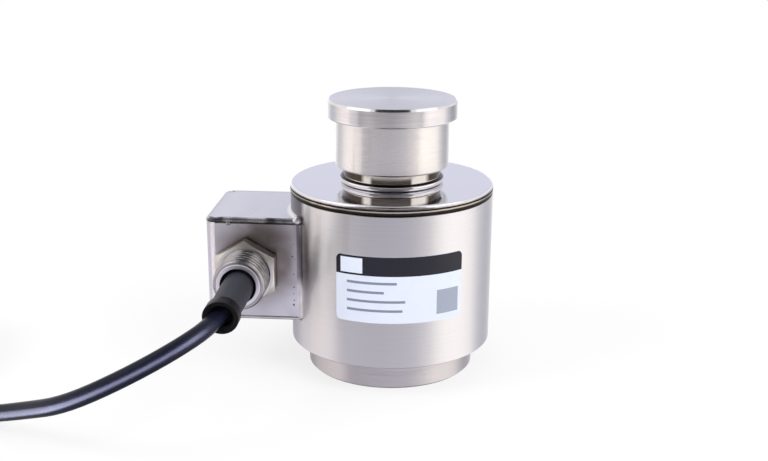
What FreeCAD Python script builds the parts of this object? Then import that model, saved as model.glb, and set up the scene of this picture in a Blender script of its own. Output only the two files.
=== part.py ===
import FreeCAD, Part
import math
import os

import Sketcher
from FreeCAD import Placement, Rotation, Vector

# Column load cell: a turned spring element in a welded housing, with a load cap on its neck, a folded
# side box for the bridge board and a gland that the cable leaves by. Millimetres. The origin is the
# centre of the base face, +Z is up, the box points to -X and the gland to -Y.

SIZES = [
    # spring element
    ("base_diameter", 66.3, "spigot under the housing"),
    ("base_height", 11.3, "height of the spigot"),
    ("base_chamfer", 0.8, "edge of the base face"),
    ("flange_height", 9.0, "flange that carries the housing tube"),
    ("waist_side", 20.0, "side of the square gauge waist"),
    ("waist_fillet", 3.0, "fillet at both ends of the waist"),
    ("neck_diameter", 38.4, "neck that passes the lid"),
    ("neck_depth", 15.0, "reach of the neck below the lid"),
    ("neck_chamfer", 1.0, "edge under the dome"),
    ("dome_radius", 120.0, "crown that the cap rocks on"),
    # housing
    ("tube_diameter", 80.0, "outside of the housing tube"),
    ("tube_wall", 3.0, "wall of the housing tube"),
    ("tube_height", 60.0, "length of the housing tube"),
    ("tube_chamfer", 0.4, "outer edges of the tube"),
    ("wire_window", 16.0, "hole in the tube behind the box"),
    ("lid_thickness", 2.8, "lid plate"),
    ("lid_overhang", 0.1, "lid edge proud of the tube"),
    ("lid_edge_round", 1.3, "rounded upper edge of the lid"),
    ("lid_groove_level", 0.9, "groove round the lid's edge"),
    ("lid_groove_height", 0.5, "groove round the lid's edge"),
    ("lid_groove_depth", 0.5, "groove round the lid's edge"),
    ("lid_spigot", 2.5, "lid step that centres in the tube"),
    ("lid_weld_height", 0.9, "seam between tube and lid"),
    ("lid_weld_recess", 0.5, "seam set back from the tube"),
    ("neck_weld_section", 2.7, "diameter of the bead round the neck"),
    # load cap
    ("cap_lift", 6.4, "gap between lid and cap"),
    ("cap_height", 26.4, "cap from skirt edge to load face"),
    ("cap_flange_diameter", 50.9, "flange at the load face"),
    ("cap_flange_height", 7.2, "flange at the load face"),
    ("cap_skirt_diameter", 44.5, "skirt round the neck"),
    ("cap_roof", 7.0, "metal over the dome"),
    ("cap_bore_gap", 0.3, "play between skirt and neck"),
    ("cap_chamfer", 0.9, "upper edge of the flange"),
    ("cap_under_chamfer", 0.4, "lower edge of the flange"),
    ("cap_skirt_chamfer", 0.7, "lower edge of the skirt"),
    ("oring_section", 2.0, "ring that keeps the cap on"),
    ("oring_height", 10.0, "ring above the skirt's edge"),
    # side box
    ("box_width", 43.6, "box across the gland's axis"),
    ("box_height", 40.4, "box from plate to plate"),
    ("box_depth", 30.8, "box out from the tube"),
    ("box_offset", 1.7, "middle of the box over the middle of the tube"),
    ("box_sheet", 1.5, "sheet of wall and plates"),
    ("box_bend", 4.0, "outer radius of the folds"),
    ("weld_inset", 0.9, "plate edge inside the wall face"),
    ("weld_proud", 0.2, "bead proud of the wall face"),
    ("weld_round", 0.7, "rounding of the bead"),
    ("seam_leg", 1.2, "bead between box and tube"),
    # gland
    ("gland_inset", 14.6, "gland axis out from the tube"),
    ("gland_diameter", 20.0, "thread of the sleeve"),
    ("gland_reach", 18.7, "sleeve outside the box"),
    ("gland_tail", 7.0, "sleeve inside the box"),
    ("gland_chamfer", 0.8, "ends of the thread"),
    ("gland_bore", 16.8, "bore of the sleeve"),
    ("gland_shoulder", 3.0, "bottom of the bore"),
    ("gland_hex", 23.0, "hexagon across flats"),
    ("gland_hex_height", 5.0, "outer nut"),
    ("hex_cone_share", 0.97, "start of the corner cone, as a share of the hexagon"),
    ("gland_nut_height", 4.0, "lock nut"),
    ("gland_washer_height", 0.8, "washer under the outer nut"),
    ("seal_height", 7.0, "rubber seal on the cable"),
    ("clamp_proud", 0.5, "clamp ring out of the sleeve"),
    ("clamp_bore", 13.4, "clamp ring round the boot"),
    ("clamp_edge_round", 0.3, "lips of the clamp ring"),
    # boot and cable
    ("boot_diameter", 12.4, "strain relief"),
    ("boot_flange_height", 3.0, "root held by the clamp ring"),
    ("boot_reach", 32.5, "strain relief outside the sleeve"),
    ("boot_waist_diameter", 11.4, "strain relief at its thin end"),
    ("boot_collar_diameter", 12.9, "thick end"),
    ("boot_collar_length", 6.0, "thick end"),
    ("boot_flare_length", 1.2, "taper up to the thick end"),
    ("boot_mouth_diameter", 10.6, "hollow end"),
    ("boot_mouth_depth", 7.0, "hollow end"),
    ("boot_edge_round", 0.7, "edges of the thick end"),
    ("cable_diameter", 6.2, "jacket"),
    ("cable_gap", 0.2, "round the jacket"),
    ("entry_tail", 12.0, "jacket inside the box"),
    ("entry_end", 32.5, "held jacket outside the box"),
    ("boot_lead", 1.6, "cable straight on from the boot"),
    # bridge and board
    ("gauge_length", 14.0, "gauge along the column"),
    ("gauge_width", 9.0, "gauge across the flat"),
    ("gauge_thickness", 0.2, "foil and backing"),
    ("wire_diameter", 1.3, "insulated wire"),
    ("board_width", 24.0, "board along X"),
    ("board_height", 30.0, "board along Z"),
    ("board_thickness", 1.6, "board"),
    ("standoff_length", 8.0, "board off the rear wall"),
    ("standoff_diameter", 5.0, "post"),
    ("standoff_inset", 4.0, "post from the board's edge"),
    ("screw_diameter", 3.0, "board screw"),
    ("screw_head_diameter", 5.5, "board screw"),
    ("screw_head_height", 1.8, "board screw"),
    ("screw_length", 6.0, "board screw under the head"),
    ("resistor_length", 6.5, "trim resistor"),
    ("resistor_diameter", 2.4, "trim resistor"),
    ("resistor_pitch", 4.0, "trim resistors"),
    # label
    ("label_width", 50.6, "sticker round the tube"),
    ("label_height", 26.0, "sticker"),
    ("label_thickness", 0.15, "sticker"),
    ("label_corner", 2.0, "rounded corners"),
    ("label_offset", 2.5, "middle of the sticker over the middle of the tube"),
    ("label_angle", 9.2, "degrees from -Y towards +X"),
    # wound cable and its end
    ("coil_clear", 95.8, "coil beside the box"),
    ("coil_forward", 28.0, "middle of the coil in front of the column"),
    ("coil_diameter", 74.0, "middle of the turns"),
    ("coil_turns_wide", 4, "turns beside each other"),
    ("coil_turns_high", 3, "turns on each other"),
    ("coil_run_in", 28.0, "straight stretch into the outer turn"),
    ("coil_approach", 15.0, "level stretch before it"),
    ("tie_width", 4.0, "tie"),
    ("tie_thickness", 1.2, "tie"),
    ("tie_gap", 0.2, "tie round the turns"),
    ("tie_head", 6.0, "lock of the tie"),
    ("tie_head_width", 5.0, "lock of the tie"),
    ("tie_one_angle", 40.0, "degrees from +X to the first tie"),
    ("tie_two_angle", 220.0, "degrees from +X to the second tie"),
    ("tail_start_angle", 48.0, "degrees from +X to the tail's start"),
    ("tail_angle", 58.0, "degrees of jacket lying over the first tie, clockwise"),
    ("shrink_length", 22.0, "sleeve over the jacket's end"),
    ("shrink_cover", 10.0, "of it on the jacket"),
    ("shrink_wall", 0.6, "sleeve"),
    ("core_diameter", 1.4, "insulated core"),
    ("core_pitch", 1.7, "cores side by side"),
    ("core_length", 42.0, "free core"),
    ("core_stagger", 1.0, "step from one core's length to the next"),
    ("shield_drop", 2.6, "drain wire under the middle of the cores"),
    ("tip_diameter", 0.8, "tinned strands"),
    ("tip_length", 6.0, "tinned strands"),
    # fits
    ("fit_gap", 0.05, "between pressed, screwed and bonded pieces"),
]

doc = FreeCAD.newDocument("column_load_cell")
sizes = doc.addObject("Spreadsheet::Sheet", "sizes")
for row, (alias, value, meaning) in enumerate(SIZES, start=1):
    sizes.set(f"A{row}", alias)
    sizes.set(f"B{row}", str(value))
    sizes.setAlias(f"B{row}", alias)
    sizes.set(f"C{row}", meaning)
doc.recompute()

# Levels and radii that several pieces share, worked out from the sizes
tube_radius = "(sizes.tube_diameter / 2)"
tube_bore = f"({tube_radius} - sizes.tube_wall)"
flange_top = "(sizes.base_height + sizes.flange_height)"
tube_top = "(sizes.base_height + sizes.tube_height)"
tube_middle = "(sizes.base_height + sizes.tube_height / 2)"
lid_bottom = f"({tube_top} + sizes.lid_weld_height)"
lid_top = f"({lid_bottom} + sizes.lid_thickness)"
neck_radius = "(sizes.neck_diameter / 2)"
waist_top = f"({lid_bottom} - sizes.neck_depth)"
waist_middle = f"(({flange_top} + {waist_top}) / 2)"
waist_half = "(sizes.waist_side / 2)"
cap_bottom = f"({lid_top} + sizes.cap_lift)"
cap_bore_radius = f"({neck_radius} + sizes.cap_bore_gap)"
cap_bore_depth = "(sizes.cap_height - sizes.cap_roof)"
dome_top = f"({cap_bottom} + {cap_bore_depth} - sizes.fit_gap)"
oring_level = f"({cap_bottom} + sizes.oring_height)"
oring_radius = f"({cap_bore_radius} - sizes.fit_gap - sizes.oring_section / 2)"
groove_radius = f"({oring_radius} - sizes.oring_section / 2 - sizes.fit_gap)"
box_half = "(sizes.box_width / 2)"
box_end = f"({tube_radius} + sizes.box_depth)"
box_rise = f"({tube_middle} + sizes.box_offset)"
box_floor = f"({box_rise} - sizes.box_height / 2)"
box_roof = f"({box_rise} + sizes.box_height / 2)"
box_foot = f"sqrt({tube_radius}^2 - {box_half}^2)"
gland_x = f"(-{tube_radius} - sizes.gland_inset)"
gland_radius = "(sizes.gland_diameter / 2)"
gland_bore_radius = "(sizes.gland_bore / 2)"
hex_corner = "(sizes.gland_hex / sqrt(3))"
cable_radius = "(sizes.cable_diameter / 2)"
cable_way = f"({cable_radius} + sizes.cable_gap)"
boot_root = "(sizes.gland_shoulder - sizes.box_sheet + sizes.seal_height)"
boot_end = "(sizes.gland_reach + sizes.boot_reach)"
board_back = f"({box_half} - sizes.box_sheet - sizes.standoff_length)"
board_face = f"({board_back} - sizes.board_thickness)"
coil_wide = "(sizes.coil_turns_wide * sizes.cable_diameter)"
coil_high = "(sizes.coil_turns_high * sizes.cable_diameter)"
coil_x = f"(-{box_end} - sizes.coil_clear - sizes.coil_diameter / 2 - {coil_wide} / 2)"
coil_y = "(-sizes.coil_forward)"
coil_lift = "(sizes.tie_thickness + sizes.tie_gap)"
coil_outer_turn = f"(sizes.coil_diameter / 2 + {coil_wide} / 2 - {cable_radius})"
coil_top = f"({coil_lift} + {coil_high})"
tie_top = f"({coil_top} + sizes.tie_gap + sizes.tie_thickness)"
tail_level = f"({tie_top} + {cable_radius} + sizes.fit_gap)"
tail_radius = "(sizes.coil_diameter / 2)"

coil_arc_degrees = f"(180 / pi / {tail_radius})"

# Corners of the free cable's way down to the floor: how far left of the boot's axis, how far in front of
# the boot's mouth, and the share of its height that is left
CABLE_BENDS = [
    (10.7, 18.7, 0.945),
    (27.4, 28.0, 0.749),
    (48.4, 27.5, 0.511),
    (66.4, 19.0, 0.286),
    (83.4, 9.0, 0.073),
    (99.4, 2.5, 0.0),
]

# Largest share of a wall that the rounding of one of its edges may take
EDGE_SHARE = 0.45

nodes = []


def number(expression):
    return float(sizes.evalExpression(expression))


def node(piece, label):
    piece.Label = label
    nodes.append(piece)
    return piece


def place(piece, x="0", y="0", z="0"):
    piece.setExpression("Placement.Base.x", x)
    piece.setExpression("Placement.Base.y", y)
    piece.setExpression("Placement.Base.z", z)


def body_of(label):
    return node(doc.addObject("PartDesign::Body", label), label)


def sketch_on(body, role, name, lift=None):
    plane = [feature for feature in body.Origin.OriginFeatures if feature.Role == role][0]
    sketch = body.newObject("Sketcher::SketchObject", name)
    sketch.AttachmentSupport = (plane, [""])
    sketch.MapMode = "FlatFace"
    if lift:
        sketch.setExpression("AttachmentOffset.Base.z", lift)
    return sketch


def pin_point(sketch, point, x, y):
    # Ties one point of the sketch to its two coordinates
    for kind, axis, expression in (("DistanceX", -2, x), ("DistanceY", -1, y)):
        value = number(expression)
        if abs(value) < 1e-9:
            sketch.addConstraint(Sketcher.Constraint("PointOnObject", *point, axis))
            continue
        index = sketch.addConstraint(Sketcher.Constraint(kind, -1, 1, *point, value))
        sketch.setExpression(f"Constraints[{index}]", expression)


def outline(sketch, corners, arcs=None):
    # A closed outline through corners given as pairs of expressions. arcs gives, for the edge that
    # starts at a corner, its radius and the side that it bulges to
    arcs = arcs or {}
    points = [Vector(number(x), number(y), 0) for x, y in corners]
    ends = []
    for place_in_list, start in enumerate(points):
        finish = points[(place_in_list + 1) % len(points)]
        if place_in_list in arcs:
            radius, side = arcs[place_in_list]
            chord = finish - start
            reach = number(radius)
            sagitta = reach - math.sqrt(max(reach**2 - (chord.Length / 2) ** 2, 0.0))
            across = Vector(chord.y, -chord.x, 0).normalize() * side
            middle = (start + finish) * 0.5 + across * sagitta
            edge = sketch.addGeometry(Part.Arc(start, middle, finish))
            index = sketch.addConstraint(Sketcher.Constraint("Radius", edge, reach))
            sketch.setExpression(f"Constraints[{index}]", radius)
        else:
            edge = sketch.addGeometry(Part.LineSegment(start, finish))
        forward = (sketch.getPoint(edge, 1) - start).Length < 1e-6
        ends.append((edge, 1, 2) if forward else (edge, 2, 1))
    for (edge, _, last), (following, first, _) in zip(ends, ends[1:] + ends[:1]):
        sketch.addConstraint(Sketcher.Constraint("Coincident", edge, last, following, first))
    for (edge, first, _), (x, y) in zip(ends, corners):
        pin_point(sketch, (edge, first), x, y)


def circle(sketch, diameter, x="0", y="0"):
    centre = Vector(number(x), number(y), 0)
    edge = sketch.addGeometry(Part.Circle(centre, Vector(0, 0, 1), number(diameter) / 2))
    index = sketch.addConstraint(Sketcher.Constraint("Diameter", edge, number(diameter)))
    sketch.setExpression(f"Constraints[{index}]", diameter)
    if abs(centre.x) < 1e-9 and abs(centre.y) < 1e-9:
        sketch.addConstraint(Sketcher.Constraint("Coincident", edge, 3, -1, 1))
    else:
        pin_point(sketch, (edge, 3), x, y)


def turn(body, sketch, angle=None):
    revolution = body.newObject("PartDesign::Revolution", "Turned")
    revolution.Profile = sketch
    revolution.ReferenceAxis = (sketch, ["V_Axis"])
    revolution.Angle = 360
    if angle:
        revolution.setExpression("Angle", angle)
    doc.recompute()
    return revolution


def pad(body, sketch, length):
    feature = body.newObject("PartDesign::Pad", "Pad")
    feature.Profile = sketch
    feature.setExpression("Length", length)
    doc.recompute()
    return feature


def pocket(body, sketch, reverse=False):
    before = body.Shape.Volume
    feature = body.newObject("PartDesign::Pocket", "Pocket")
    feature.Profile = sketch
    feature.Type = "ThroughAll"
    feature.Reversed = reverse
    doc.recompute()
    if not body.Shape.Volume < before:
        raise RuntimeError(f"{body.Label}: a pocket cuts nothing")
    return feature


def rounded(body, base, wanted, radius):
    # Fillets the edges of a feature that a test picks out
    names = [f"Edge{count}" for count, edge in enumerate(base.Shape.Edges, start=1) if wanted(edge)]
    if not names:
        raise RuntimeError(f"{body.Label}: no edge to round")
    fillet = body.newObject("PartDesign::Fillet", "Fillet")
    fillet.Base = (base, names)
    fillet.setExpression("Radius", radius)
    doc.recompute()
    return fillet


def ring_edge(radius, height):
    # Picks the circular edges of one radius at one height
    def wanted(edge):
        curve = edge.Curve
        if not isinstance(curve, Part.Circle):
            return False
        return abs(curve.Radius - number(radius)) < 1e-4 and abs(curve.Center.z - number(height)) < 1e-4
    return wanted


def turned_body(label, corners, arcs=None):
    body = body_of(label)
    sketch = sketch_on(body, "XZ_Plane", "Profile")
    outline(sketch, corners, arcs)
    return body, turn(body, sketch)


def along_gland(body):
    # Local z runs out of the box along the gland's axis, from the outer face of the box wall
    body.Placement = Placement(Vector(), Rotation(Vector(1, 0, 0), 90))
    place(body, gland_x, f"-{box_half}", box_rise)


def torus(name, ring_radius, section):
    ring = doc.addObject("Part::Torus", name)
    ring.setExpression("Radius1", ring_radius)
    ring.setExpression("Radius2", f"{section} / 2")
    return ring


def box_shape(name, length, width, height):
    block = doc.addObject("Part::Box", name)
    block.setExpression("Length", length)
    block.setExpression("Width", width)
    block.setExpression("Height", height)
    return block


def rod(name, diameter, length):
    # A round rod that runs towards -Y from its place
    bar = doc.addObject("Part::Cylinder", name)
    bar.setExpression("Radius", f"({diameter}) / 2")
    bar.setExpression("Height", length)
    bar.Placement = Placement(Vector(), Rotation(Vector(1, 0, 0), 90))
    return bar


def cut_from(base, tool):
    cut = doc.addObject("Part::Cut", "Cut")
    cut.Base = base
    cut.Tool = tool
    return cut


def rounded_path(points):
    # Straight runs joined by tangent arcs, each as large as its two runs allow
    edges = []
    last = points[0]
    for before, corner, after in zip(points, points[1:], points[2:]):
        back = (before - corner).normalize()
        ahead = (after - corner).normalize()
        reach = EDGE_SHARE * min((before - corner).Length, (after - corner).Length)
        half_turn = (math.pi - back.getAngle(ahead)) / 2
        radius = reach / math.tan(half_turn)
        inward = (back + ahead).normalize()
        middle = corner + inward * (radius / math.cos(half_turn) - radius)
        start = corner + back * reach
        finish = corner + ahead * reach
        edges.append(Part.LineSegment(last, start).toShape())
        edges.append(Part.Arc(start, middle, finish).toShape())
        last = finish
    edges.append(Part.LineSegment(last, points[-1]).toShape())
    return Part.Wire(edges)


def pipe(points, diameter):
    path = rounded_path(points)
    section = Part.Wire(Part.makeCircle(diameter / 2, points[0], points[1] - points[0]))
    solid = path.makePipeShell([section], True, False)
    expected = math.pi * diameter**2 / 4 * path.Length
    if abs(solid.Volume - expected) > 0.01 * expected:
        raise RuntimeError("a pipe's volume is not its section times its length")
    return solid


def piece_from_shape(label, shape):
    piece = node(doc.addObject("Part::Feature", label), label)
    piece.Shape = shape
    piece.Placement = Placement()


# Load path

def make_spring_element():
    body = body_of("spring_element")
    base_radius = "(sizes.base_diameter / 2)"
    flange_radius = f"({tube_bore} - sizes.fit_gap)"
    foot = sketch_on(body, "XZ_Plane", "Foot")
    outline(foot, [
        ("0", "0"),
        (f"{base_radius} - sizes.base_chamfer", "0"),
        (base_radius, "sizes.base_chamfer"),
        (base_radius, "sizes.base_height"),
        (flange_radius, "sizes.base_height"),
        (flange_radius, flange_top),
        ("0", flange_top),
    ])
    turn(body, foot)
    square = sketch_on(body, "XY_Plane", "Waist", flange_top)
    outline(square, [
        (f"-{waist_half}", f"-{waist_half}"),
        (waist_half, f"-{waist_half}"),
        (waist_half, waist_half),
        (f"-{waist_half}", waist_half),
    ])
    pad(body, square, f"{waist_top} - {flange_top}")
    head = sketch_on(body, "XZ_Plane", "Head")
    dome_rim = f"({neck_radius} - sizes.neck_chamfer)"
    dome_edge = f"({dome_top} - sizes.dome_radius + sqrt(sizes.dome_radius^2 - {dome_rim}^2))"
    groove_half = "(sizes.oring_section / 2 + sizes.fit_gap)"
    outline(head, [
        ("0", waist_top),
        (neck_radius, waist_top),
        (neck_radius, f"{oring_level} - {groove_half}"),
        (groove_radius, f"{oring_level} - {groove_half}"),
        (groove_radius, f"{oring_level} + {groove_half}"),
        (neck_radius, f"{oring_level} + {groove_half}"),
        (neck_radius, f"{dome_edge} - sizes.neck_chamfer"),
        (dome_rim, dome_edge),
        ("0", dome_top),
    ], {7: ("sizes.dome_radius", 1)})
    whole = turn(body, head)
    levels = (number(flange_top), number(waist_top))

    def waist_ends(edge):
        flat = abs(edge.BoundBox.ZMax - edge.BoundBox.ZMin) < 1e-6
        at_end = min(abs(edge.BoundBox.ZMin - level) for level in levels) < 1e-4
        return flat and at_end and isinstance(edge.Curve, Part.Line)

    room = f"2 * {EDGE_SHARE} * ({neck_radius} / sqrt(2) - {waist_half})"
    rounded(body, whole, waist_ends, f"min(sizes.waist_fillet; {room})")


def make_load_cap():
    flange_radius = "(sizes.cap_flange_diameter / 2)"
    skirt_radius = "(sizes.cap_skirt_diameter / 2)"
    under = "(sizes.cap_height - sizes.cap_flange_height)"
    body, _ = turned_body("load_cap", [
        (f"{cap_bore_radius} + sizes.cap_skirt_chamfer", "0"),
        (f"{skirt_radius} - sizes.cap_skirt_chamfer", "0"),
        (skirt_radius, "sizes.cap_skirt_chamfer"),
        (skirt_radius, under),
        (f"{flange_radius} - sizes.cap_under_chamfer", under),
        (flange_radius, f"{under} + sizes.cap_under_chamfer"),
        (flange_radius, "sizes.cap_height - sizes.cap_chamfer"),
        (f"{flange_radius} - sizes.cap_chamfer", "sizes.cap_height"),
        ("0", "sizes.cap_height"),
        ("0", cap_bore_depth),
        (cap_bore_radius, cap_bore_depth),
        (cap_bore_radius, "sizes.cap_skirt_chamfer"),
    ])
    place(body, z=cap_bottom)


def make_cap_oring():
    ring = node(torus("cap_oring", oring_radius, "sizes.oring_section"), "cap_oring")
    place(ring, z=oring_level)


# Housing

def make_housing_tube():
    body, _ = turned_body("housing_tube", [
        (tube_bore, "0"),
        (f"{tube_radius} - sizes.tube_chamfer", "0"),
        (tube_radius, "sizes.tube_chamfer"),
        (tube_radius, "sizes.tube_height - sizes.tube_chamfer"),
        (f"{tube_radius} - sizes.tube_chamfer", "sizes.tube_height"),
        (tube_bore, "sizes.tube_height"),
    ])
    window = sketch_on(body, "YZ_Plane", "WireWindow")
    circle(window, "sizes.wire_window", "0", f"{box_rise} - sizes.base_height")
    pocket(body, window)
    place(body, z="sizes.base_height")


def make_top_lid():
    lid_radius = f"({tube_radius} + sizes.lid_overhang)"
    hole = f"({neck_radius} + sizes.fit_gap)"
    step = f"({tube_bore} - sizes.fit_gap)"
    step_level = "(-sizes.lid_weld_height - sizes.lid_spigot)"
    groove_bottom = f"({lid_radius} - sizes.lid_groove_depth)"
    groove_top = "(sizes.lid_groove_level + sizes.lid_groove_height)"
    body, plate = turned_body("top_lid", [
        (hole, step_level),
        (step, step_level),
        (step, "0"),
        (lid_radius, "0"),
        (lid_radius, "sizes.lid_groove_level"),
        (groove_bottom, "sizes.lid_groove_level"),
        (groove_bottom, groove_top),
        (lid_radius, groove_top),
        (lid_radius, "sizes.lid_thickness"),
        (hole, "sizes.lid_thickness"),
    ])
    rounded(body, plate, ring_edge(lid_radius, "sizes.lid_thickness"), "sizes.lid_edge_round")
    place(body, z=lid_bottom)


def make_lid_weld():
    outer = f"({tube_radius} - sizes.lid_weld_recess)"
    body, _ = turned_body("lid_weld", [
        (tube_bore, "0"),
        (outer, "0"),
        (outer, "sizes.lid_weld_height"),
        (tube_bore, "sizes.lid_weld_height"),
    ])
    place(body, z=tube_top)


def make_neck_weld():
    bead = torus("NeckBead", neck_radius, "sizes.neck_weld_section")
    place(bead, z=f"{lid_top} + sizes.neck_weld_section / 2")
    core = doc.addObject("Part::Cylinder", "NeckCore")
    core.setExpression("Radius", f"{neck_radius} + sizes.fit_gap")
    core.setExpression("Height", "2 * sizes.neck_weld_section")
    place(core, z=f"{lid_top} - sizes.neck_weld_section / 2")
    ring = node(doc.addObject("Part::Cut", "neck_weld"), "neck_weld")
    ring.Base = bead
    ring.Tool = core


def make_name_label():
    body = body_of("name_label")
    inner = f"({tube_radius} + sizes.fit_gap)"
    outer = f"({inner} + sizes.label_thickness)"
    strip = sketch_on(body, "XZ_Plane", "Strip")
    outline(strip, [
        (inner, "-sizes.label_height / 2"),
        (outer, "-sizes.label_height / 2"),
        (outer, "sizes.label_height / 2"),
        (inner, "sizes.label_height / 2"),
    ])
    spread = f"(sizes.label_width / {tube_radius} * 180 / pi)"
    film = turn(body, strip, spread)
    rounded(body, film, lambda edge: edge.Length < 2 * number("sizes.label_thickness"), "sizes.label_corner")
    body.Placement = Placement(Vector(), Rotation(Vector(0, 0, 1), 1))
    body.setExpression("Placement.Rotation.Angle", f"sizes.label_angle - 90 - {spread} / 2")
    place(body, z=f"{tube_middle} + sizes.label_offset")


# Side box

def box_outline(sketch, inset, back):
    # The box seen from above, with its two folds, reaching back to the given x
    end = f"({box_end} - {inset})"
    side = f"({box_half} - {inset})"
    bend = f"(sizes.box_bend - {inset})"
    outline(sketch, [
        (back, f"-{side}"),
        (back, side),
        (f"-{end} + {bend}", side),
        (f"-{end}", f"{side} - {bend}"),
        (f"-{end}", f"-{side} + {bend}"),
        (f"-{end} + {bend}", f"-{side}"),
    ], {2: (bend, -1), 4: (bend, -1)})


def box_layer(label, inset, height, level):
    # A layer of the box, cut to the tube that it is welded to
    body = body_of(label)
    shape = sketch_on(body, "XY_Plane", "Outline")
    box_outline(shape, inset, "0")
    pad(body, shape, height)
    place(body, z=level)
    return body


def fit_to_tube(body):
    round_cut = sketch_on(body, "XY_Plane", "TubeFit")
    circle(round_cut, f"2 * ({tube_radius} + sizes.fit_gap)")
    return pocket(body, round_cut, True)


def hollow(body, inset):
    inside = sketch_on(body, "XY_Plane", "Inside")
    box_outline(inside, inset, "sizes.box_bend")
    pocket(body, inside, True)


def make_box():
    wall_height = "(sizes.box_height - 2 * sizes.box_sheet)"
    wall = box_layer("box_wall", "0", wall_height, f"{box_floor} + sizes.box_sheet")
    hollow(wall, "sizes.box_sheet")
    fit_to_tube(wall)
    hole = sketch_on(wall, "XZ_Plane", "GlandHole")
    circle(hole, "sizes.gland_diameter + 2 * sizes.fit_gap", gland_x, f"{wall_height} / 2")
    pocket(wall, hole, True)
    for side, level in (("top", f"{box_roof} - sizes.box_sheet"), ("bottom", box_floor)):
        plate = box_layer(f"box_{side}_plate", "sizes.weld_inset", "sizes.box_sheet", level)
        fit_to_tube(plate)
        bead = box_layer(f"box_{side}_weld", "(-sizes.weld_proud)", "sizes.box_sheet", level)
        hollow(bead, "sizes.weld_inset")
        ends = fit_to_tube(bead)
        front = number(f"-{box_half} - sizes.weld_proud")
        long_enough = number("sizes.box_sheet")

        def long_front_edges(edge):
            box = edge.BoundBox
            return abs(box.YMin - front) < 1e-4 and abs(box.YMax - front) < 1e-4 and box.XLength > long_enough

        rounded(bead, ends, long_front_edges, f"min(sizes.weld_round; {EDGE_SHARE} * sizes.box_sheet)")


def make_box_tube_weld():
    # Fillet beads in the corners between the box and the tube: two upright ones and two arcs
    beads = []
    for name, side in (("FrontSeam", "-"), ("RearSeam", "")):
        rod = doc.addObject("Part::Cylinder", name)
        rod.setExpression("Radius", "sizes.seam_leg")
        rod.setExpression("Height", "sizes.box_height - 2 * sizes.box_sheet")
        place(rod, f"-{box_foot}", f"{side}{box_half}", f"{box_floor} + sizes.box_sheet")
        beads.append(rod)
    for name, level in (("RoofSeam", box_roof), ("FloorSeam", box_floor)):
        ring = torus(name, tube_radius, "(2 * sizes.seam_leg)")
        place(ring, z=level)
        beads.append(ring)
    trimmed = []
    slab = doc.addObject("Part::Box", "SeamSpan")
    slab.setExpression("Length", box_end)
    slab.setExpression("Width", "2 * " + box_half)
    slab.setExpression("Height", "sizes.box_height + 4 * sizes.seam_leg")
    place(slab, f"-{box_end}", f"-{box_half}", f"{box_floor} - 2 * sizes.seam_leg")
    column = doc.addObject("Part::Cylinder", "TubeRoom")
    column.setExpression("Radius", f"{tube_radius} + sizes.fit_gap")
    column.setExpression("Height", "sizes.box_height + 4 * sizes.seam_leg")
    place(column, z=f"{box_floor} - 2 * sizes.seam_leg")
    block = doc.addObject("Part::Box", "BoxRoom")
    block.setExpression("Length", f"{box_end} + sizes.weld_proud")
    block.setExpression("Width", f"2 * ({box_half} + sizes.fit_gap)")
    block.setExpression("Height", "sizes.box_height + 2 * sizes.fit_gap")
    beside = f"-{box_half} - sizes.fit_gap"
    place(block, f"-{box_end} - sizes.weld_proud", beside, f"{box_floor} - sizes.fit_gap")
    for bead in beads:
        if bead.TypeId == "Part::Torus":
            span = doc.addObject("Part::Common", bead.Name + "Span")
            span.Base = bead
            span.Tool = slab
            bead = span
        for room in (column, block):
            cut = doc.addObject("Part::Cut", bead.Name + "Cut")
            cut.Base = bead
            cut.Tool = room
            bead = cut
        trimmed.append(bead)
    seam = node(doc.addObject("Part::Compound", "box_tube_weld"), "box_tube_weld")
    seam.Links = trimmed


# Gland and boot

def hexagon(body, height):
    side = "(sizes.gland_hex / 2)"
    corners = [("0", hex_corner), (f"-{side}", f"{hex_corner} / 2"), (f"-{side}", f"-{hex_corner} / 2")]
    corners += [("0", f"-{hex_corner}"), (side, f"-{hex_corner} / 2"), (side, f"{hex_corner} / 2")]
    shape = sketch_on(body, "XY_Plane", "Hexagon")
    outline(shape, corners)
    circle(shape, "sizes.gland_diameter + 2 * sizes.fit_gap")
    pad(body, shape, height)


def cone_corners(body, height):
    # Turns the corners of a hexagon down to a 30 degree cone
    start = "(sizes.hex_cone_share * sizes.gland_hex / 2)"
    far = f"(2 * {hex_corner} - {start})"
    cone = sketch_on(body, "XZ_Plane", "CornerCone")
    outline(cone, [
        (start, height),
        (far, height),
        (far, f"{height} - ({far} - {start}) / sqrt(3)"),
    ])
    before = body.Shape.Volume
    groove = body.newObject("PartDesign::Groove", "Groove")
    groove.Profile = cone
    groove.ReferenceAxis = (cone, ["V_Axis"])
    groove.Angle = 360
    doc.recompute()
    if not body.Shape.Volume < before:
        raise RuntimeError(f"{body.Label}: the cone cuts nothing")


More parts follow.
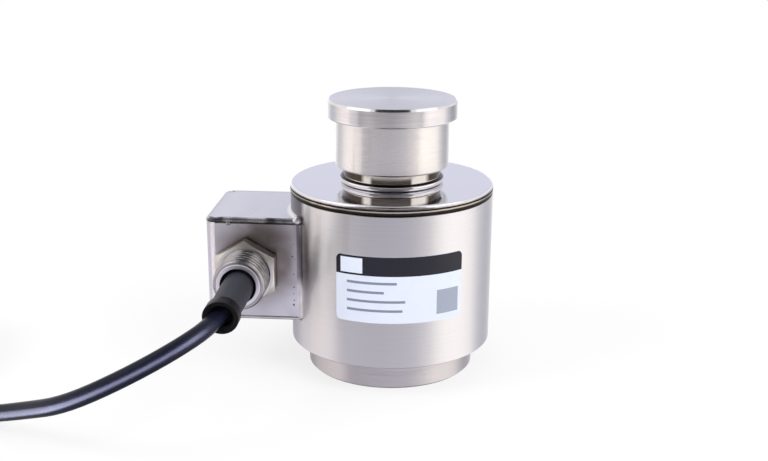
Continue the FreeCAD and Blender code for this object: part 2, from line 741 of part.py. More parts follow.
def make_gland():
    nut = body_of("gland_hex_nut")
    hexagon(nut, "sizes.gland_hex_height")
    cone_corners(nut, "sizes.gland_hex_height")
    along_gland(nut)
    place(nut, gland_x, f"-{box_half} - sizes.gland_washer_height", box_rise)

    lock = body_of("gland_lock_nut")
    hexagon(lock, "sizes.gland_nut_height")
    along_gland(lock)
    place(lock, gland_x, f"-{box_half} + sizes.box_sheet + sizes.gland_nut_height", box_rise)

    washer, _ = turned_body("gland_washer", [
        (f"{gland_radius} + sizes.fit_gap", "0"),
        ("sizes.gland_hex / 2 - sizes.fit_gap", "0"),
        ("sizes.gland_hex / 2 - sizes.fit_gap", "sizes.gland_washer_height"),
        (f"{gland_radius} + sizes.fit_gap", "sizes.gland_washer_height"),
    ])
    along_gland(washer)

    back = "(-sizes.box_sheet - sizes.gland_tail)"
    bottom = "(sizes.gland_shoulder - sizes.box_sheet)"
    sleeve, _ = turned_body("gland_sleeve", [
        (cable_way, back),
        (f"{gland_radius} - sizes.gland_chamfer", back),
        (gland_radius, f"{back} + sizes.gland_chamfer"),
        (gland_radius, "sizes.gland_reach - sizes.gland_chamfer"),
        (f"{gland_radius} - sizes.gland_chamfer", "sizes.gland_reach"),
        (gland_bore_radius, "sizes.gland_reach"),
        (gland_bore_radius, bottom),
        (cable_way, bottom),
    ])
    along_gland(sleeve)

    seal, _ = turned_body("gland_seal", [
        (cable_way, bottom),
        (f"{gland_bore_radius} - sizes.fit_gap", bottom),
        (f"{gland_bore_radius} - sizes.fit_gap", boot_root),
        (cable_way, boot_root),
    ])
    along_gland(seal)

    clamp_start = f"({boot_root} + sizes.boot_flange_height)"
    clamp_end = "(sizes.gland_reach + sizes.clamp_proud)"
    clamp, ring = turned_body("gland_clamp_ring", [
        ("sizes.clamp_bore / 2", clamp_start),
        (f"{gland_bore_radius} - sizes.fit_gap", clamp_start),
        (f"{gland_bore_radius} - sizes.fit_gap", clamp_end),
        ("sizes.clamp_bore / 2", clamp_end),
    ])
    outer_lip = ring_edge(f"{gland_bore_radius} - sizes.fit_gap", clamp_end)
    inner_lip = ring_edge("sizes.clamp_bore / 2", clamp_end)
    lip_share = f"{EDGE_SHARE} * ({gland_bore_radius} - sizes.fit_gap - sizes.clamp_bore / 2)"
    lip_round = f"min(sizes.clamp_edge_round; {lip_share})"
    rounded(clamp, ring, lambda edge: outer_lip(edge) or inner_lip(edge), lip_round)
    along_gland(clamp)


def make_cable_boot():
    body_radius = "(sizes.boot_diameter / 2)"
    collar_radius = "(sizes.boot_collar_diameter / 2)"
    mouth_radius = "(sizes.boot_mouth_diameter / 2)"
    flange_radius = f"({gland_bore_radius} - sizes.fit_gap)"
    flange_end = f"({boot_root} + sizes.boot_flange_height)"
    collar_start = f"({boot_end} - sizes.boot_collar_length)"
    boot, rubber = turned_body("cable_boot", [
        (cable_way, boot_root),
        (flange_radius, boot_root),
        (flange_radius, flange_end),
        (body_radius, flange_end),
        ("sizes.boot_waist_diameter / 2", f"{collar_start} - sizes.boot_flare_length"),
        (collar_radius, collar_start),
        (collar_radius, boot_end),
        (mouth_radius, boot_end),
        (mouth_radius, f"{boot_end} - sizes.boot_mouth_depth"),
        (cable_way, f"{boot_end} - sizes.boot_mouth_depth"),
    ])
    edge_round = f"min(sizes.boot_edge_round; {EDGE_SHARE} * ({collar_radius} - {mouth_radius}))"
    rounded(boot, rubber, ring_edge(collar_radius, boot_end), edge_round)
    along_gland(boot)


# Bridge and board

def make_gauges():
    deep = "sizes.gauge_thickness"
    wide = "sizes.gauge_width"
    far = f"({waist_half} + sizes.fit_gap)"
    near = f"(-{far} - {deep})"
    low = f"({waist_middle} - sizes.gauge_length / 2)"
    for side, length, width, x, y in (
        ("front", wide, deep, f"-{wide} / 2", near),
        ("rear", wide, deep, f"-{wide} / 2", far),
        ("left", deep, wide, near, f"-{wide} / 2"),
        ("right", deep, wide, far, f"-{wide} / 2"),
    ):
        label = f"strain_gauge_{side}"
        gauge = node(box_shape(label, length, width, "sizes.gauge_length"), label)
        place(gauge, x, y, low)


def make_bridge_wires():
    # The jumper loop lies on the gauges' lower ends, and the loom leaves the left gauge for the board
    wire = number("sizes.wire_diameter")
    off = number(f"{waist_half} + 2 * sizes.fit_gap + sizes.gauge_thickness + sizes.wire_diameter / 2")
    low = number(f"{waist_middle} - sizes.gauge_length / 4")
    corner = wire
    flat = off - corner
    loop = []
    for turn_count in range(4):
        turn_by = Rotation(Vector(0, 0, 1), 90 * turn_count)
        run = (Vector(-flat, -off, low), Vector(flat, -off, low))
        bend = (flat + corner * math.sin(math.pi / 4), -flat - corner * math.cos(math.pi / 4))
        ends = (Vector(flat, -off, low), Vector(bend[0], bend[1], low), Vector(off, -flat, low))
        loop.append(Part.LineSegment(*[turn_by.multVec(point) for point in run]).toShape())
        loop.append(Part.Arc(*[turn_by.multVec(point) for point in ends]).toShape())
    section = Part.Wire(Part.makeCircle(wire / 2, Vector(-flat, -off, low), Vector(1, 0, 0)))
    piece_from_shape("bridge_ring_wire", Part.Wire(loop).makePipeShell([section], True, False))

    middle = number(box_rise)
    start = -number(f"{waist_half} + 2 * sizes.fit_gap + sizes.gauge_thickness")
    window = -number(tube_radius)
    land = number(f"{board_face} - sizes.fit_gap")
    at = number(f"{gland_x} + sizes.board_width / 4")
    high = number(f"{waist_middle} + sizes.gauge_length / 4")
    loom = [
        Vector(start, 0, high),
        Vector(start + (window - start) / 3, 0, high),
        Vector(window - (window - start) / 4, 0, middle),
        Vector(at, 0, middle),
        Vector(at, land, middle),
    ]
    piece_from_shape("bridge_loom", pipe(loom, wire))


def make_board():
    left = f"({gland_x} - sizes.board_width / 2)"
    low = f"({box_rise} - sizes.board_height / 2)"
    blank = box_shape("BoardBlank", "sizes.board_width", "sizes.board_thickness", "sizes.board_height")
    place(blank, left, board_face, low)
    columns = (f"({left} + sizes.standoff_inset)", f"({left} + sizes.board_width - sizes.standoff_inset)")
    rows = (f"({low} + sizes.standoff_inset)", f"({low} + sizes.board_height - sizes.standoff_inset)")
    posts = []
    screws = []
    board = blank
    for column in columns:
        for row in rows:
            hole = rod("BoardHole", "sizes.screw_diameter + 4 * sizes.fit_gap", "sizes.board_thickness")
            place(hole, column, board_back, row)
            board = cut_from(board, hole)
            post = rod("Post", "sizes.standoff_diameter", "sizes.standoff_length")
            place(post, column, f"{board_back} + sizes.standoff_length", row)
            bore = rod("PostBore", "sizes.screw_diameter + 2 * sizes.fit_gap", "sizes.screw_length")
            place(bore, column, f"{board_back} + sizes.screw_length", row)
            posts.append(cut_from(post, bore))
            shank = rod("Shank", "sizes.screw_diameter", "sizes.screw_length")
            place(shank, column, f"{board_face} + sizes.screw_length", row)
            head = rod("Head", "sizes.screw_head_diameter", "sizes.screw_head_height")
            place(head, column, board_face, row)
            screw = doc.addObject("Part::Fuse", "Screw")
            screw.Base = shank
            screw.Tool = head
            screws.append(screw)
    node(board, "bridge_board")
    node(doc.addObject("Part::Compound", "board_standoffs"), "board_standoffs").Links = posts
    node(doc.addObject("Part::Compound", "board_screws"), "board_screws").Links = screws
    parts = []
    for count in (-1, 0, 1):
        body = rod("Resistor", "sizes.resistor_diameter", "sizes.resistor_length")
        body.Placement = Placement(Vector(), Rotation(Vector(0, 1, 0), 90))
        face = f"{board_face} - sizes.resistor_diameter / 2 - sizes.fit_gap"
        start = f"{gland_x} - sizes.resistor_length / 2"
        place(body, start, face, f"{low} + 2 * sizes.standoff_inset + ({count}) * sizes.resistor_pitch")
        parts.append(body)
    node(doc.addObject("Part::Compound", "trim_resistors"), "trim_resistors").Links = parts


# Cable

def make_cable_entry():
    entry, _ = turned_body("cable_entry", [
        ("0", "-sizes.entry_tail"),
        (cable_radius, "-sizes.entry_tail"),
        (cable_radius, "sizes.entry_end"),
        ("0", "sizes.entry_end"),
    ])
    along_gland(entry)
    spread = number("sizes.board_width / 6")
    tight = number("sizes.wire_diameter")
    x = number(gland_x)
    z = number(box_rise)
    start = number(f"-{box_half} + sizes.entry_tail + sizes.fit_gap")
    land = number(f"{board_face} - sizes.fit_gap")
    cores = []
    for side in (-1, 1):
        for level in (-1, 1):
            run = [
                Vector(x + side * tight, start, z + level * tight),
                Vector(x + side * tight, start + (land - start) / 3, z + level * tight),
                Vector(x + side * spread, land - (land - start) / 3, z + level * spread / 2),
                Vector(x + side * spread, land, z + level * spread / 2),
            ]
            cores.append(pipe(run, number("sizes.wire_diameter")))
    piece_from_shape("entry_cores", Part.makeCompound(cores))


def make_cable_lead():
    # Out of the boot, forward and down to the floor, then up to the coil's lowest turn
    exit_x = number(gland_x)
    exit_z = number(box_rise)
    mouth = -number(f"{box_half} + {boot_end}")
    floor = number(cable_radius)
    coil_front = number(f"{coil_y} - {coil_outer_turn}")
    coil_level = number(f"{coil_lift} + {cable_radius}")
    run_in = number(f"{coil_x} + sizes.coil_run_in")
    route = [
        Vector(exit_x, -number(f"{box_half} + sizes.entry_end"), exit_z),
        Vector(exit_x, mouth - number("sizes.boot_lead"), exit_z),
    ]
    for left, forward, height in CABLE_BENDS:
        route.append(Vector(exit_x - left, mouth - forward, floor + height * (exit_z - floor)))
    route.append(Vector(run_in + number("sizes.coil_approach"), coil_front, coil_level))
    route.append(Vector(run_in, coil_front, coil_level))
    piece_from_shape("cable_lead", pipe(route, number("sizes.cable_diameter")))


def make_cable_coil():
    inner = f"(sizes.coil_diameter / 2 - {coil_wide} / 2)"
    outer = f"(sizes.coil_diameter / 2 + {coil_wide} / 2)"
    coil, ring = turned_body("cable_coil", [
        (inner, coil_lift),
        (outer, coil_lift),
        (outer, coil_top),
        (inner, coil_top),
    ])
    round_edge = rounded(coil, ring, lambda edge: isinstance(edge.Curve, Part.Circle),
                         f"{EDGE_SHARE} * sizes.cable_diameter")
    run_in = sketch_on(coil, "YZ_Plane", "RunIn")
    circle(run_in, "sizes.cable_diameter", f"-{coil_outer_turn}", f"{coil_lift} + {cable_radius}")
    before = round_edge.Shape.Volume
    pad(coil, run_in, "sizes.coil_run_in")
    if not coil.Shape.Volume > before:
        raise RuntimeError("the run into the coil adds nothing")
    place(coil, coil_x, coil_y)


def make_coil_ties():
    ties = []
    long = f"({coil_wide} + 2 * sizes.tie_gap)"
    high = f"({coil_high} + 2 * sizes.tie_gap)"
    inside = f"(sizes.coil_diameter / 2 - {long} / 2)"
    floor = f"({coil_lift} - sizes.tie_gap)"
    for turned_by in ("sizes.tie_one_angle", "sizes.tie_two_angle"):
        loop = box_shape("TieLoop", f"{long} + 2 * sizes.tie_thickness", "sizes.tie_width",
                         f"{high} + 2 * sizes.tie_thickness")
        room = box_shape("TieRoom", long, "2 * sizes.tie_width", high)
        head = box_shape("TieHead", "sizes.tie_head", "sizes.tie_head_width", "sizes.tie_head")
        for block, radial, width, level in (
            (loop, f"({inside} - sizes.tie_thickness)", "sizes.tie_width", f"{floor} - sizes.tie_thickness"),
            (room, inside, "(2 * sizes.tie_width)", floor),
            (head, f"({inside} + {long})", "sizes.tie_head_width", f"{floor} + {high} / 2"),
        ):
            block.Placement = Placement(Vector(), Rotation(Vector(0, 0, 1), 1))
            block.setExpression("Placement.Rotation.Angle", turned_by)
            across = f"({width} / 2)"
            cosine = f"cos({turned_by} * 1deg)"
            sine = f"sin({turned_by} * 1deg)"
            x = f"{coil_x} + {radial} * {cosine} + {across} * {sine}"
            y = f"{coil_y} + {radial} * {sine} - {across} * {cosine}"
            place(block, x, y, level)
        band = doc.addObject("Part::Fuse", "TieBand")
        band.Base = loop
        band.Tool = head
        ties.append(cut_from(band, room))
    node(doc.addObject("Part::Compound", "coil_ties"), "coil_ties").Links = ties


def coil_arc(body, section, start_length, length, offset="0", rise="0", bore=None):
    # A round piece on top of the coil that follows its turns, measured clockwise from the tail's start
    radius = f"({tail_radius} + {offset})"
    profile = sketch_on(body, "XZ_Plane", "Section")
    circle(profile, section, radius, f"{tail_level} + {rise}")
    if bore:
        circle(profile, bore, radius, f"{tail_level} + {rise}")
    turn(body, profile, f"{length} * {coil_arc_degrees}")
    body.Placement = Placement(Vector(), Rotation(Vector(0, 0, 1), 1))
    finish = f"({start_length} + {length})"
    body.setExpression("Placement.Rotation.Angle", f"sizes.tail_start_angle - {finish} * {coil_arc_degrees}")
    place(body, coil_x, coil_y)


def make_cable_end():
    tail_length = f"(sizes.tail_angle / {coil_arc_degrees})"
    coil_arc(body_of("cable_tail"), "sizes.cable_diameter", "0", tail_length)
    shrink_bore = "(sizes.cable_diameter + 4 * sizes.fit_gap)"
    shrink = f"({shrink_bore} + 2 * sizes.shrink_wall)"
    shrink_start = f"({tail_length} - sizes.shrink_cover)"
    coil_arc(body_of("lead_sleeve"), shrink, shrink_start, "sizes.shrink_length", bore=shrink_bore)
    start = f"({tail_length} + sizes.fit_gap)"
    step = "sizes.core_pitch / 2"
    tips = []
    for label, offset, rise, steps in (
        ("lead_red", step, step, 0),
        ("lead_black", f"-{step}", step, 3),
        ("lead_green", step, f"-{step}", 1),
        ("lead_white", f"-{step}", f"-{step}", 4),
    ):
        long = f"(sizes.core_length + {steps} * sizes.core_stagger)"
        coil_arc(body_of(label), "sizes.core_diameter", start, long, offset, rise)
        tip = doc.addObject("PartDesign::Body", "Tip")
        coil_arc(tip, "sizes.tip_diameter", f"({start} + {long})", "sizes.tip_length", offset, rise)
        tips.append(tip)
    drain = body_of("lead_shield")
    coil_arc(drain, "sizes.tip_diameter", start, "sizes.core_length", rise="-sizes.shield_drop")
    node(doc.addObject("Part::Compound", "lead_tips"), "lead_tips").Links = tips


make_spring_element()
make_load_cap()
make_cap_oring()
make_housing_tube()
make_top_lid()
make_lid_weld()
make_neck_weld()
make_name_label()
make_box()
make_box_tube_weld()
make_gland()
make_cable_boot()
make_gauges()
make_bridge_wires()
make_board()
make_cable_entry()
make_cable_lead()
make_cable_coil()
make_coil_ties()
make_cable_end()
doc.recompute()

for item in doc.Objects:
    if "Invalid" in item.State or "Error" in item.State:
        raise RuntimeError(f"{item.Label} failed: {item.State}")
for piece in nodes:
    if piece.Shape.isNull() or not piece.Shape.isValid():
        raise RuntimeError(f"{piece.Label} has no valid shape")

os.makedirs("parts", exist_ok=True)
for piece in nodes:
    piece.Shape.exportStep(f"parts/{piece.Label}.step")
print(len(nodes), "pieces")
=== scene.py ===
import math

import bmesh
import bpy
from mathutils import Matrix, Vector, noise


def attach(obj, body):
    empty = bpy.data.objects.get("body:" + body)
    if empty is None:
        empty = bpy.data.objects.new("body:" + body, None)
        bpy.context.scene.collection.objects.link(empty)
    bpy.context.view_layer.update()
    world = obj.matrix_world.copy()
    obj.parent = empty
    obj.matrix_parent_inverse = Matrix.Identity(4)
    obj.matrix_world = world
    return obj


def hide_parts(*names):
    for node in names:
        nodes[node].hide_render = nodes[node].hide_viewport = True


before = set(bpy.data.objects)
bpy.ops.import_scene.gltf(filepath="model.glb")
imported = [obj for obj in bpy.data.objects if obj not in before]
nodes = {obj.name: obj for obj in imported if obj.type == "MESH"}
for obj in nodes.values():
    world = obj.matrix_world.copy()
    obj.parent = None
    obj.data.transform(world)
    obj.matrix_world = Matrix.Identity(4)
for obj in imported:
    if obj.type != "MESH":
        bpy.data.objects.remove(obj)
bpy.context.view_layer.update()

mm = 0.001
upward = Vector((0, 0, 1))
print("frame:", len(nodes), "pieces")


def hexColour(code):
    # sRGB hex to the linear values that the shaders want
    channels = []
    for start in (1, 3, 5):
        value = int(code[start:start + 2], 16) / 255
        channels.append(value / 12.92 if value <= 0.04045 else ((value + 0.055) / 1.055) ** 2.4)
    return (*channels, 1.0)


def feed(tree, node, inputs):
    # an input takes a number, a hex colour, or the node or socket that drives it
    for name, value in inputs.items():
        if isinstance(value, bpy.types.Node):
            value = next(output for output in value.outputs if output.enabled)
        if isinstance(value, bpy.types.NodeSocket):
            tree.links.new(value, node.inputs[name])
        else:
            node.inputs[name].default_value = hexColour(value) if isinstance(value, str) else value


def addNode(tree, kind, inputs=None, **settings):
    node = tree.nodes.new("ShaderNode" + kind)
    for name, value in settings.items():
        setattr(node, name, value)
    feed(tree, node, inputs or {})
    return node


def emptyMaterial(name):
    material = bpy.data.materials.new(name)
    material.use_nodes = True
    material.node_tree.nodes.clear()
    return material, material.node_tree


def newMaterial(name, colour, roughness, metallic=0.0, more=None):
    # a fresh Principled material; what is the same all over sits on the shader's own sockets
    material, tree = emptyMaterial(name)
    shader = addNode(tree, "BsdfPrincipled", {
        "Base Color": colour, "Roughness": roughness, "Metallic": metallic, **(more or {})})
    addNode(tree, "OutputMaterial", {"Surface": shader})
    return material, tree, shader


def objectPlace(tree):
    # where on the object a point is, whole and by axis
    place = addNode(tree, "TexCoord").outputs["Object"]
    return (place, *addNode(tree, "SeparateXYZ", {0: place}).outputs)


def cells(size):
    # how many patches of this size, in mm, lie along a metre
    return 1 / (size * mm)


def meshPiece(name, points, faces, sharpAngle=None):
    mesh = bpy.data.meshes.new(name)
    mesh.from_pydata([tuple(point) for point in points], [], faces)
    work = bmesh.new()
    work.from_mesh(mesh)
    bmesh.ops.recalc_face_normals(work, faces=work.faces)
    work.to_mesh(mesh)
    work.free()
    mesh.shade_smooth()
    if sharpAngle:
        mesh.set_sharp_from_angle(angle=math.radians(sharpAngle))
    piece = bpy.data.objects.new(name, mesh)
    bpy.context.scene.collection.objects.link(piece)
    return piece


def keepOn(piece, slot, *replaced):
    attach(piece, "root")
    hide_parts(*replaced)
    return piece


def sweep(frames, sectionAt, points, faces, closed=False):
    # rings of section points along frames of (middle, side, up) in mm; open ends are capped
    first = len(points)
    for index, (middle, side, up) in enumerate(frames):
        for across, high in sectionAt(index):
            points.append(mm * (middle + side * across + up * high))
    sides = (len(points) - first) // len(frames)
    for row in range(len(frames) if closed else len(frames) - 1):
        low = first + row * sides
        high = first + (row + 1) % len(frames) * sides
        for step in range(sides):
            beside = (step + 1) % sides
            faces.append((low + step, low + beside, high + beside, high + step))
    if not closed:
        last = first + (len(frames) - 1) * sides
        faces.append(tuple(first + step for step in reversed(range(sides))))
        faces.append(tuple(last + step for step in range(sides)))


def roundSection(halfWidth, halfHeight, sides):
    turns = [2 * math.pi * step / sides for step in range(sides)]
    return [(halfWidth * math.cos(turn), halfHeight * math.sin(turn)) for turn in turns]


def smooth(share):
    return share * share * (3 - 2 * share)


# camera, floor and lights
studio = {
    "cameraPlace": (0.028624, -0.443400, 0.188814),
    "cameraTurn": (73.1226, -0.3888, 4.1891),
    "lens": 54.279,
    "floorSize": 8.0,
    "floorColour": "#F4F4F5",
    "shadowShare": 0.24,           # how much of the floor's own shading the picture keeps
    "shadowNear": 0.13,            # it fades to plain paper between these distances
    "shadowFar": 0.26,
    "skyStrength": 0.75,           # what lights the matt surfaces
    "tentRadius": 0.9,
    "tentSteps": 180,
    "frontAngle": -86.3,           # where the camera stands, from +X
    # the tent's light by angle from the camera, positive to its right: what the tube, its upper part, the
    # cap's skirt and its flange mirror, and over them the dark room behind the camera, with a window at
    # each side and one across
    "tubeLight": [
        (-168, "#F6F5FC", 0.55), (-144, "#F6F5FC", 0.44), (-132, "#F6F5FC", 0.54), (-120, "#F8F6FA", 0.74),
        (-100, "#FFF8F8", 0.82), (-72, "#FFF8F8", 1.10), (-66, "#FAF6FC", 1.04), (-58, "#F2F0FF", 0.84),
        (-48, "#F2F0FF", 0.94), (-30, "#F2F0FF", 1.06), (0, "#F2F0FF", 1.22), (20, "#F2F0FF", 1.20),
        (30, "#F6F4FF", 1.22), (40, "#FAF8FF", 1.34), (50, "#FFFCFC", 1.42), (58, "#FFFCFA", 1.60),
        (90, "#FFFCFA", 1.46), (104, "#FFFCFA", 1.26), (112, "#FAFAFF", 0.86), (120, "#F4F5FF", 0.63),
        (134, "#F4F5FF", 0.61), (146, "#F6F8FF", 0.70), (158, "#FFFFFF", 1.05), (170, "#FFFFFF", 1.10)],
    "tubeTopLight": [
        (-168, "#F6F5FC", 0.55), (-144, "#F6F5FC", 0.48), (-132, "#F6F5FC", 0.80), (-118, "#F8F6FA", 1.50),
        (-100, "#FFF8F8", 1.75), (-74, "#FFF8F8", 1.95), (-67, "#FAF6FC", 1.50), (-60, "#F2F0FF", 0.55),
        (-52, "#F2F0FF", 0.52), (-40, "#F2F0FF", 0.88), (-26, "#F2F0FF", 1.05), (0, "#F2F0FF", 1.22),
        (20, "#F2F0FF", 1.18), (30, "#F6F4FF", 1.18), (40, "#FAF8FF", 1.34), (50, "#FFFCFC", 1.52),
        (58, "#FFFCFA", 1.75), (90, "#FFFCFA", 1.62), (106, "#FFFCFA", 1.45), (116, "#FAFAFF", 1.05),
        (124, "#F4F5FF", 0.75), (134, "#F4F5FF", 0.61), (146, "#F6F8FF", 0.62), (158, "#FFFFFF", 0.95),
        (170, "#FFFFFF", 1.10)],
    "skirtLight": [
        (-170, "#FFFFFF", 1.25), (-144, "#FFFFFF", 1.0), (-132, "#F8F8FF", 0.96), (-120, "#F8F8FF", 1.0),
        (-108, "#FFF6F4", 1.45), (-84, "#FFF6F4", 1.52), (-76, "#F8F4F8", 0.85), (-68, "#F8F4F8", 0.70),
        (-58, "#F6F0F6", 0.56), (-50, "#FAF6F8", 0.94), (-38, "#FAF6F6", 1.10), (-24, "#FAF6F6", 0.88),
        (-4, "#FAF6F6", 0.74), (14, "#FAF6F6", 0.90), (26, "#FCF6F4", 1.08), (36, "#FCF6F4", 1.22),
        (44, "#FCF6F4", 1.0), (51, "#FAF2F4", 0.90), (58, "#FFFAF6", 1.16), (67, "#FFFAF6", 1.32),
        (99, "#FFFAF6", 1.25), (112, "#F8F8FF", 1.0), (124, "#F4F5FF", 0.86), (134, "#F4F5FF", 0.78),
        (146, "#F8F8FF", 0.78), (156, "#FFFFFF", 0.85), (168, "#FFFFFF", 1.05)],
    "flangeLight": [
        (-168, "#FFFFFF", 1.28), (-150, "#FFFFFF", 1.05), (-132, "#F8F8FF", 0.70), (-120, "#F8F8FF", 0.76),
        (-96, "#FFF8F4", 1.10), (-82, "#FFF8F4", 1.12), (-74, "#FAF6F8", 0.92), (-64, "#FAF6F8", 0.88),
        (-57, "#F8F4F6", 0.55), (-42, "#F8F4F6", 0.52), (-27, "#F8F4F6", 0.36), (0, "#F8F4F6", 0.30),
        (14, "#F8F4F6", 0.40), (29, "#F8F4F6", 0.54), (43, "#FAF6F6", 0.74), (52, "#FAF6F6", 0.70),
        (59, "#FFFAF6", 1.16), (67, "#FFFAF6", 1.34), (99, "#FFFAF6", 1.24), (112, "#F8F8FF", 0.80),
        (126, "#F4F5FF", 0.50), (138, "#F4F5FF", 0.54), (150, "#F8F8FF", 0.80), (166, "#FFFFFF", 1.15)],
    "roomLight": [
        (-170, "#FFFFFF", 1.1), (-110, "#FFFCF8", 1.1), (-95, "#FFFCF6", 1.45), (-53, "#FFFCF6", 1.45),
        (-47, "#B09C90", 0.13), (44, "#B09C90", 0.13), (50, "#FFFCF6", 1.6), (95, "#FFFCF6", 1.6),
        (110, "#FFFCF8", 1.1)],
    "windowLight": [
        (-170, "#FFFFFF", 1.1), (-110, "#FFFCF8", 1.0), (-60, "#FFFCF8", 0.70), (0, "#F6F4F8", 0.55),
        (60, "#FFFCF8", 0.70), (110, "#FFFCF8", 1.0)],
    # heights on the tent and the light there
    "tentLevels": [
        (-0.80, "tubeLight"), (-0.29, "tubeLight"), (-0.21, "tubeTopLight"), (-0.165, "tubeTopLight"),
        (-0.14, "skirtLight"), (-0.10, "skirtLight"), (-0.085, "flangeLight"), (0.05, "flangeLight"),
        (0.20, "roomLight"), (0.345, "roomLight"), (0.385, "windowLight"), (0.62, "windowLight"),
        (0.68, "roomLight"), (1.30, "roomLight")],
    "backColour": "#EBECFA",
    "backCard": (1.5, 0.55, 0.85, 0.16, 1.2),        # width, upper and lower distance, lower and upper edge
    # overhead: a dark boom over the table and a bright panel each side of it; place, half sizes and level
    "overhead": [("overheadBoom", (0.03, -0.29, 0.95), (0.33, 0.33), 0.05),
                 ("leftPanel", (-0.64, 0.0, 0.96), (0.30, 0.42), 1.6),
                 ("rightPanel", (0.70, 0.0, 0.96), (0.30, 0.42), 1.6)],
    "underLevel": 0.40,            # the dim room under the table's edge
    "cardSteps": 48,
    # name, place, width and height, power
    "lamps": [("keySoftbox", (0.75, -0.55, 0.85), (0.7, 0.7), 7.0),
              ("fillSoftbox", (-0.8, -0.35, 0.75), (0.5, 0.5), 4.0)],
    "lampAim": (0, 0, 0.04),
    # a row of small lamps round the cable for the gleam along it: angle from -Y, angle up
    "gleam": [(90, 20), (72, 17), (51, 13), (30, 7), (11, -1), (-8, -9), (-26, -15), (-42, -20), (-58, -23),
              (-76, -25)],
    "gleamAim": (-0.090, -0.098, 0.028),
    "gleamReach": 0.7,
    "gleamSize": (0.42, 0.55),
    "gleamPower": 12.5,
    "gleamColour": "#DCDEFF",
}

camera = bpy.data.objects.new("camera", bpy.data.cameras.new("camera"))
bpy.context.scene.collection.objects.link(camera)
camera.location = studio["cameraPlace"]
camera.rotation_euler = [math.radians(angle) for angle in studio["cameraTurn"]]
camera.data.lens = studio["lens"]
camera.data.sensor_width = 36.0
camera.data.clip_start = 0.01
bpy.context.scene.camera = camera
bpy.context.scene.view_settings.view_transform = "Standard"


def seenAsBackground(tree):
    # 1 for the rays that see the backdrop: straight ones, mirrored ones and those through glass
    rays = addNode(tree, "LightPath").outputs
    both = addNode(tree, "Math", {0: rays["Is Camera Ray"], 1: rays["Is Glossy Ray"]}, operation="MAXIMUM")
    return addNode(tree, "Math", {0: both, 1: rays["Is Transmission Ray"]}, operation="MAXIMUM")


def makeWorld():
    world = bpy.data.worlds.new("whiteStudio")
    bpy.context.scene.world = world
    world.use_nodes = True
    tree = world.node_tree
    tree.nodes.clear()
    light = addNode(tree, "Background", {"Color": "#FFFFFF", "Strength": studio["skyStrength"]})
    backdrop = addNode(tree, "Background", {"Color": "#FFFFFF", "Strength": 1.0})
    mix = addNode(tree, "MixShader", {0: seenAsBackground(tree), 1: light, 2: backdrop})
    addNode(tree, "OutputWorld", {"Surface": mix})


def makeFloor():
    half = studio["floorSize"] / 2
    corners = [(-half, -half, 0), (half, -half, 0), (half, half, 0), (-half, half, 0)]
    floor = meshPiece("paperFloor", corners, [(0, 1, 2, 3)])
    material, tree = emptyMaterial("whitePaperSweep")
    paper = addNode(tree, "BsdfDiffuse", {"Color": studio["floorColour"]})
    white = addNode(tree, "Emission", {"Color": "#FFFFFF", "Strength": 1.0})
    place = addNode(tree, "TexCoord").outputs["Object"]
    away = addNode(tree, "VectorMath", {0: place}, operation="LENGTH")
    plain = addNode(tree, "MapRange", {
        "Value": away, "From Min": studio["shadowNear"], "From Max": studio["shadowFar"],
        "To Min": 1 - studio["shadowShare"]}, interpolation_type="SMOOTHSTEP")
    share = addNode(tree, "Math", {0: seenAsBackground(tree), 1: plain}, operation="MULTIPLY")
    mix = addNode(tree, "MixShader", {0: share, 1: paper, 2: white})
    addNode(tree, "OutputMaterial", {"Surface": mix})
    floor.data.materials.append(material)
    floor.visible_glossy = False       # the tent's lower half is what the metal mirrors there


def glowingCard(name, points, faces, level, colour="#FFFFFF", painted=None):
    # a card that glows in one colour, or as it is painted point by point
    card = meshPiece(name, points, faces)
    material, tree = emptyMaterial(name + "Glow")
    if painted:
        card.data.color_attributes.new("light", "FLOAT_COLOR", "POINT").data.foreach_set("color", painted)
        colour = addNode(tree, "VertexColor", layer_name="light")
    glow = addNode(tree, "Emission", {"Color": colour, "Strength": level})
    addNode(tree, "OutputMaterial", {"Surface": glow})
    card.data.materials.append(material)
    return card


def lightAt(stops, angle):
    # colour of a band of light at this angle, between the stops on both sides of it
    around = [(stops[-1][0] - 360, *stops[-1][1:])] + stops + [(stops[0][0] + 360, *stops[0][1:])]
    for before, after in zip(around, around[1:]):
        if angle <= after[0]:
            share = (angle - before[0]) / (after[0] - before[0])
            return [low * before[2] * (1 - share) + high * after[2] * share
                    for low, high in zip(hexColour(before[1])[:3], hexColour(after[1])[:3])] + [1.0]


def makeTent():
    # a round tent of light, seen only in reflections
    steps, radius = studio["tentSteps"], studio["tentRadius"]
    points, faces, light = [], [], []
    for row, (level, band) in enumerate(studio["tentLevels"]):
        for step in range(steps):
            angle = 360 * step / steps - 180
            turn = math.radians(studio["frontAngle"] + angle)
            points.append((radius * math.cos(turn), radius * math.sin(turn), level))
            light += lightAt(studio[band], angle)
            if row:
                below, beside = (row - 1) * steps, (step + 1) % steps
                faces.append((below + step, below + beside, below + steps + beside, below + steps + step))
    return glowingCard("lightTent", points, faces, 1.0, painted=light)


def makeCards():
    # the paper behind the cell, which the flat tops mirror, and what hangs over and lies under it
    width, near, far, low, high = studio["backCard"]
    half, steps, radius = width / 2, studio["cardSteps"], studio["tentRadius"]
    paper = [(-half, far, low), (half, far, low), (half, near, high), (-half, near, high)]
    cards = [glowingCard("backCard", paper, [(0, 1, 2, 3)], 1.0, studio["backColour"])]
    under = ("underTable", (0, 0, studio["tentLevels"][0][0]), (radius, radius), studio["underLevel"])
    for name, (x, y, level), (halfX, halfY), strength in studio["overhead"] + [under]:
        outline = [(x + across, y + away, level) for across, away in roundSection(halfX, halfY, steps)]
        cards.append(glowingCard(name, outline, [tuple(range(steps))], strength))
    return cards


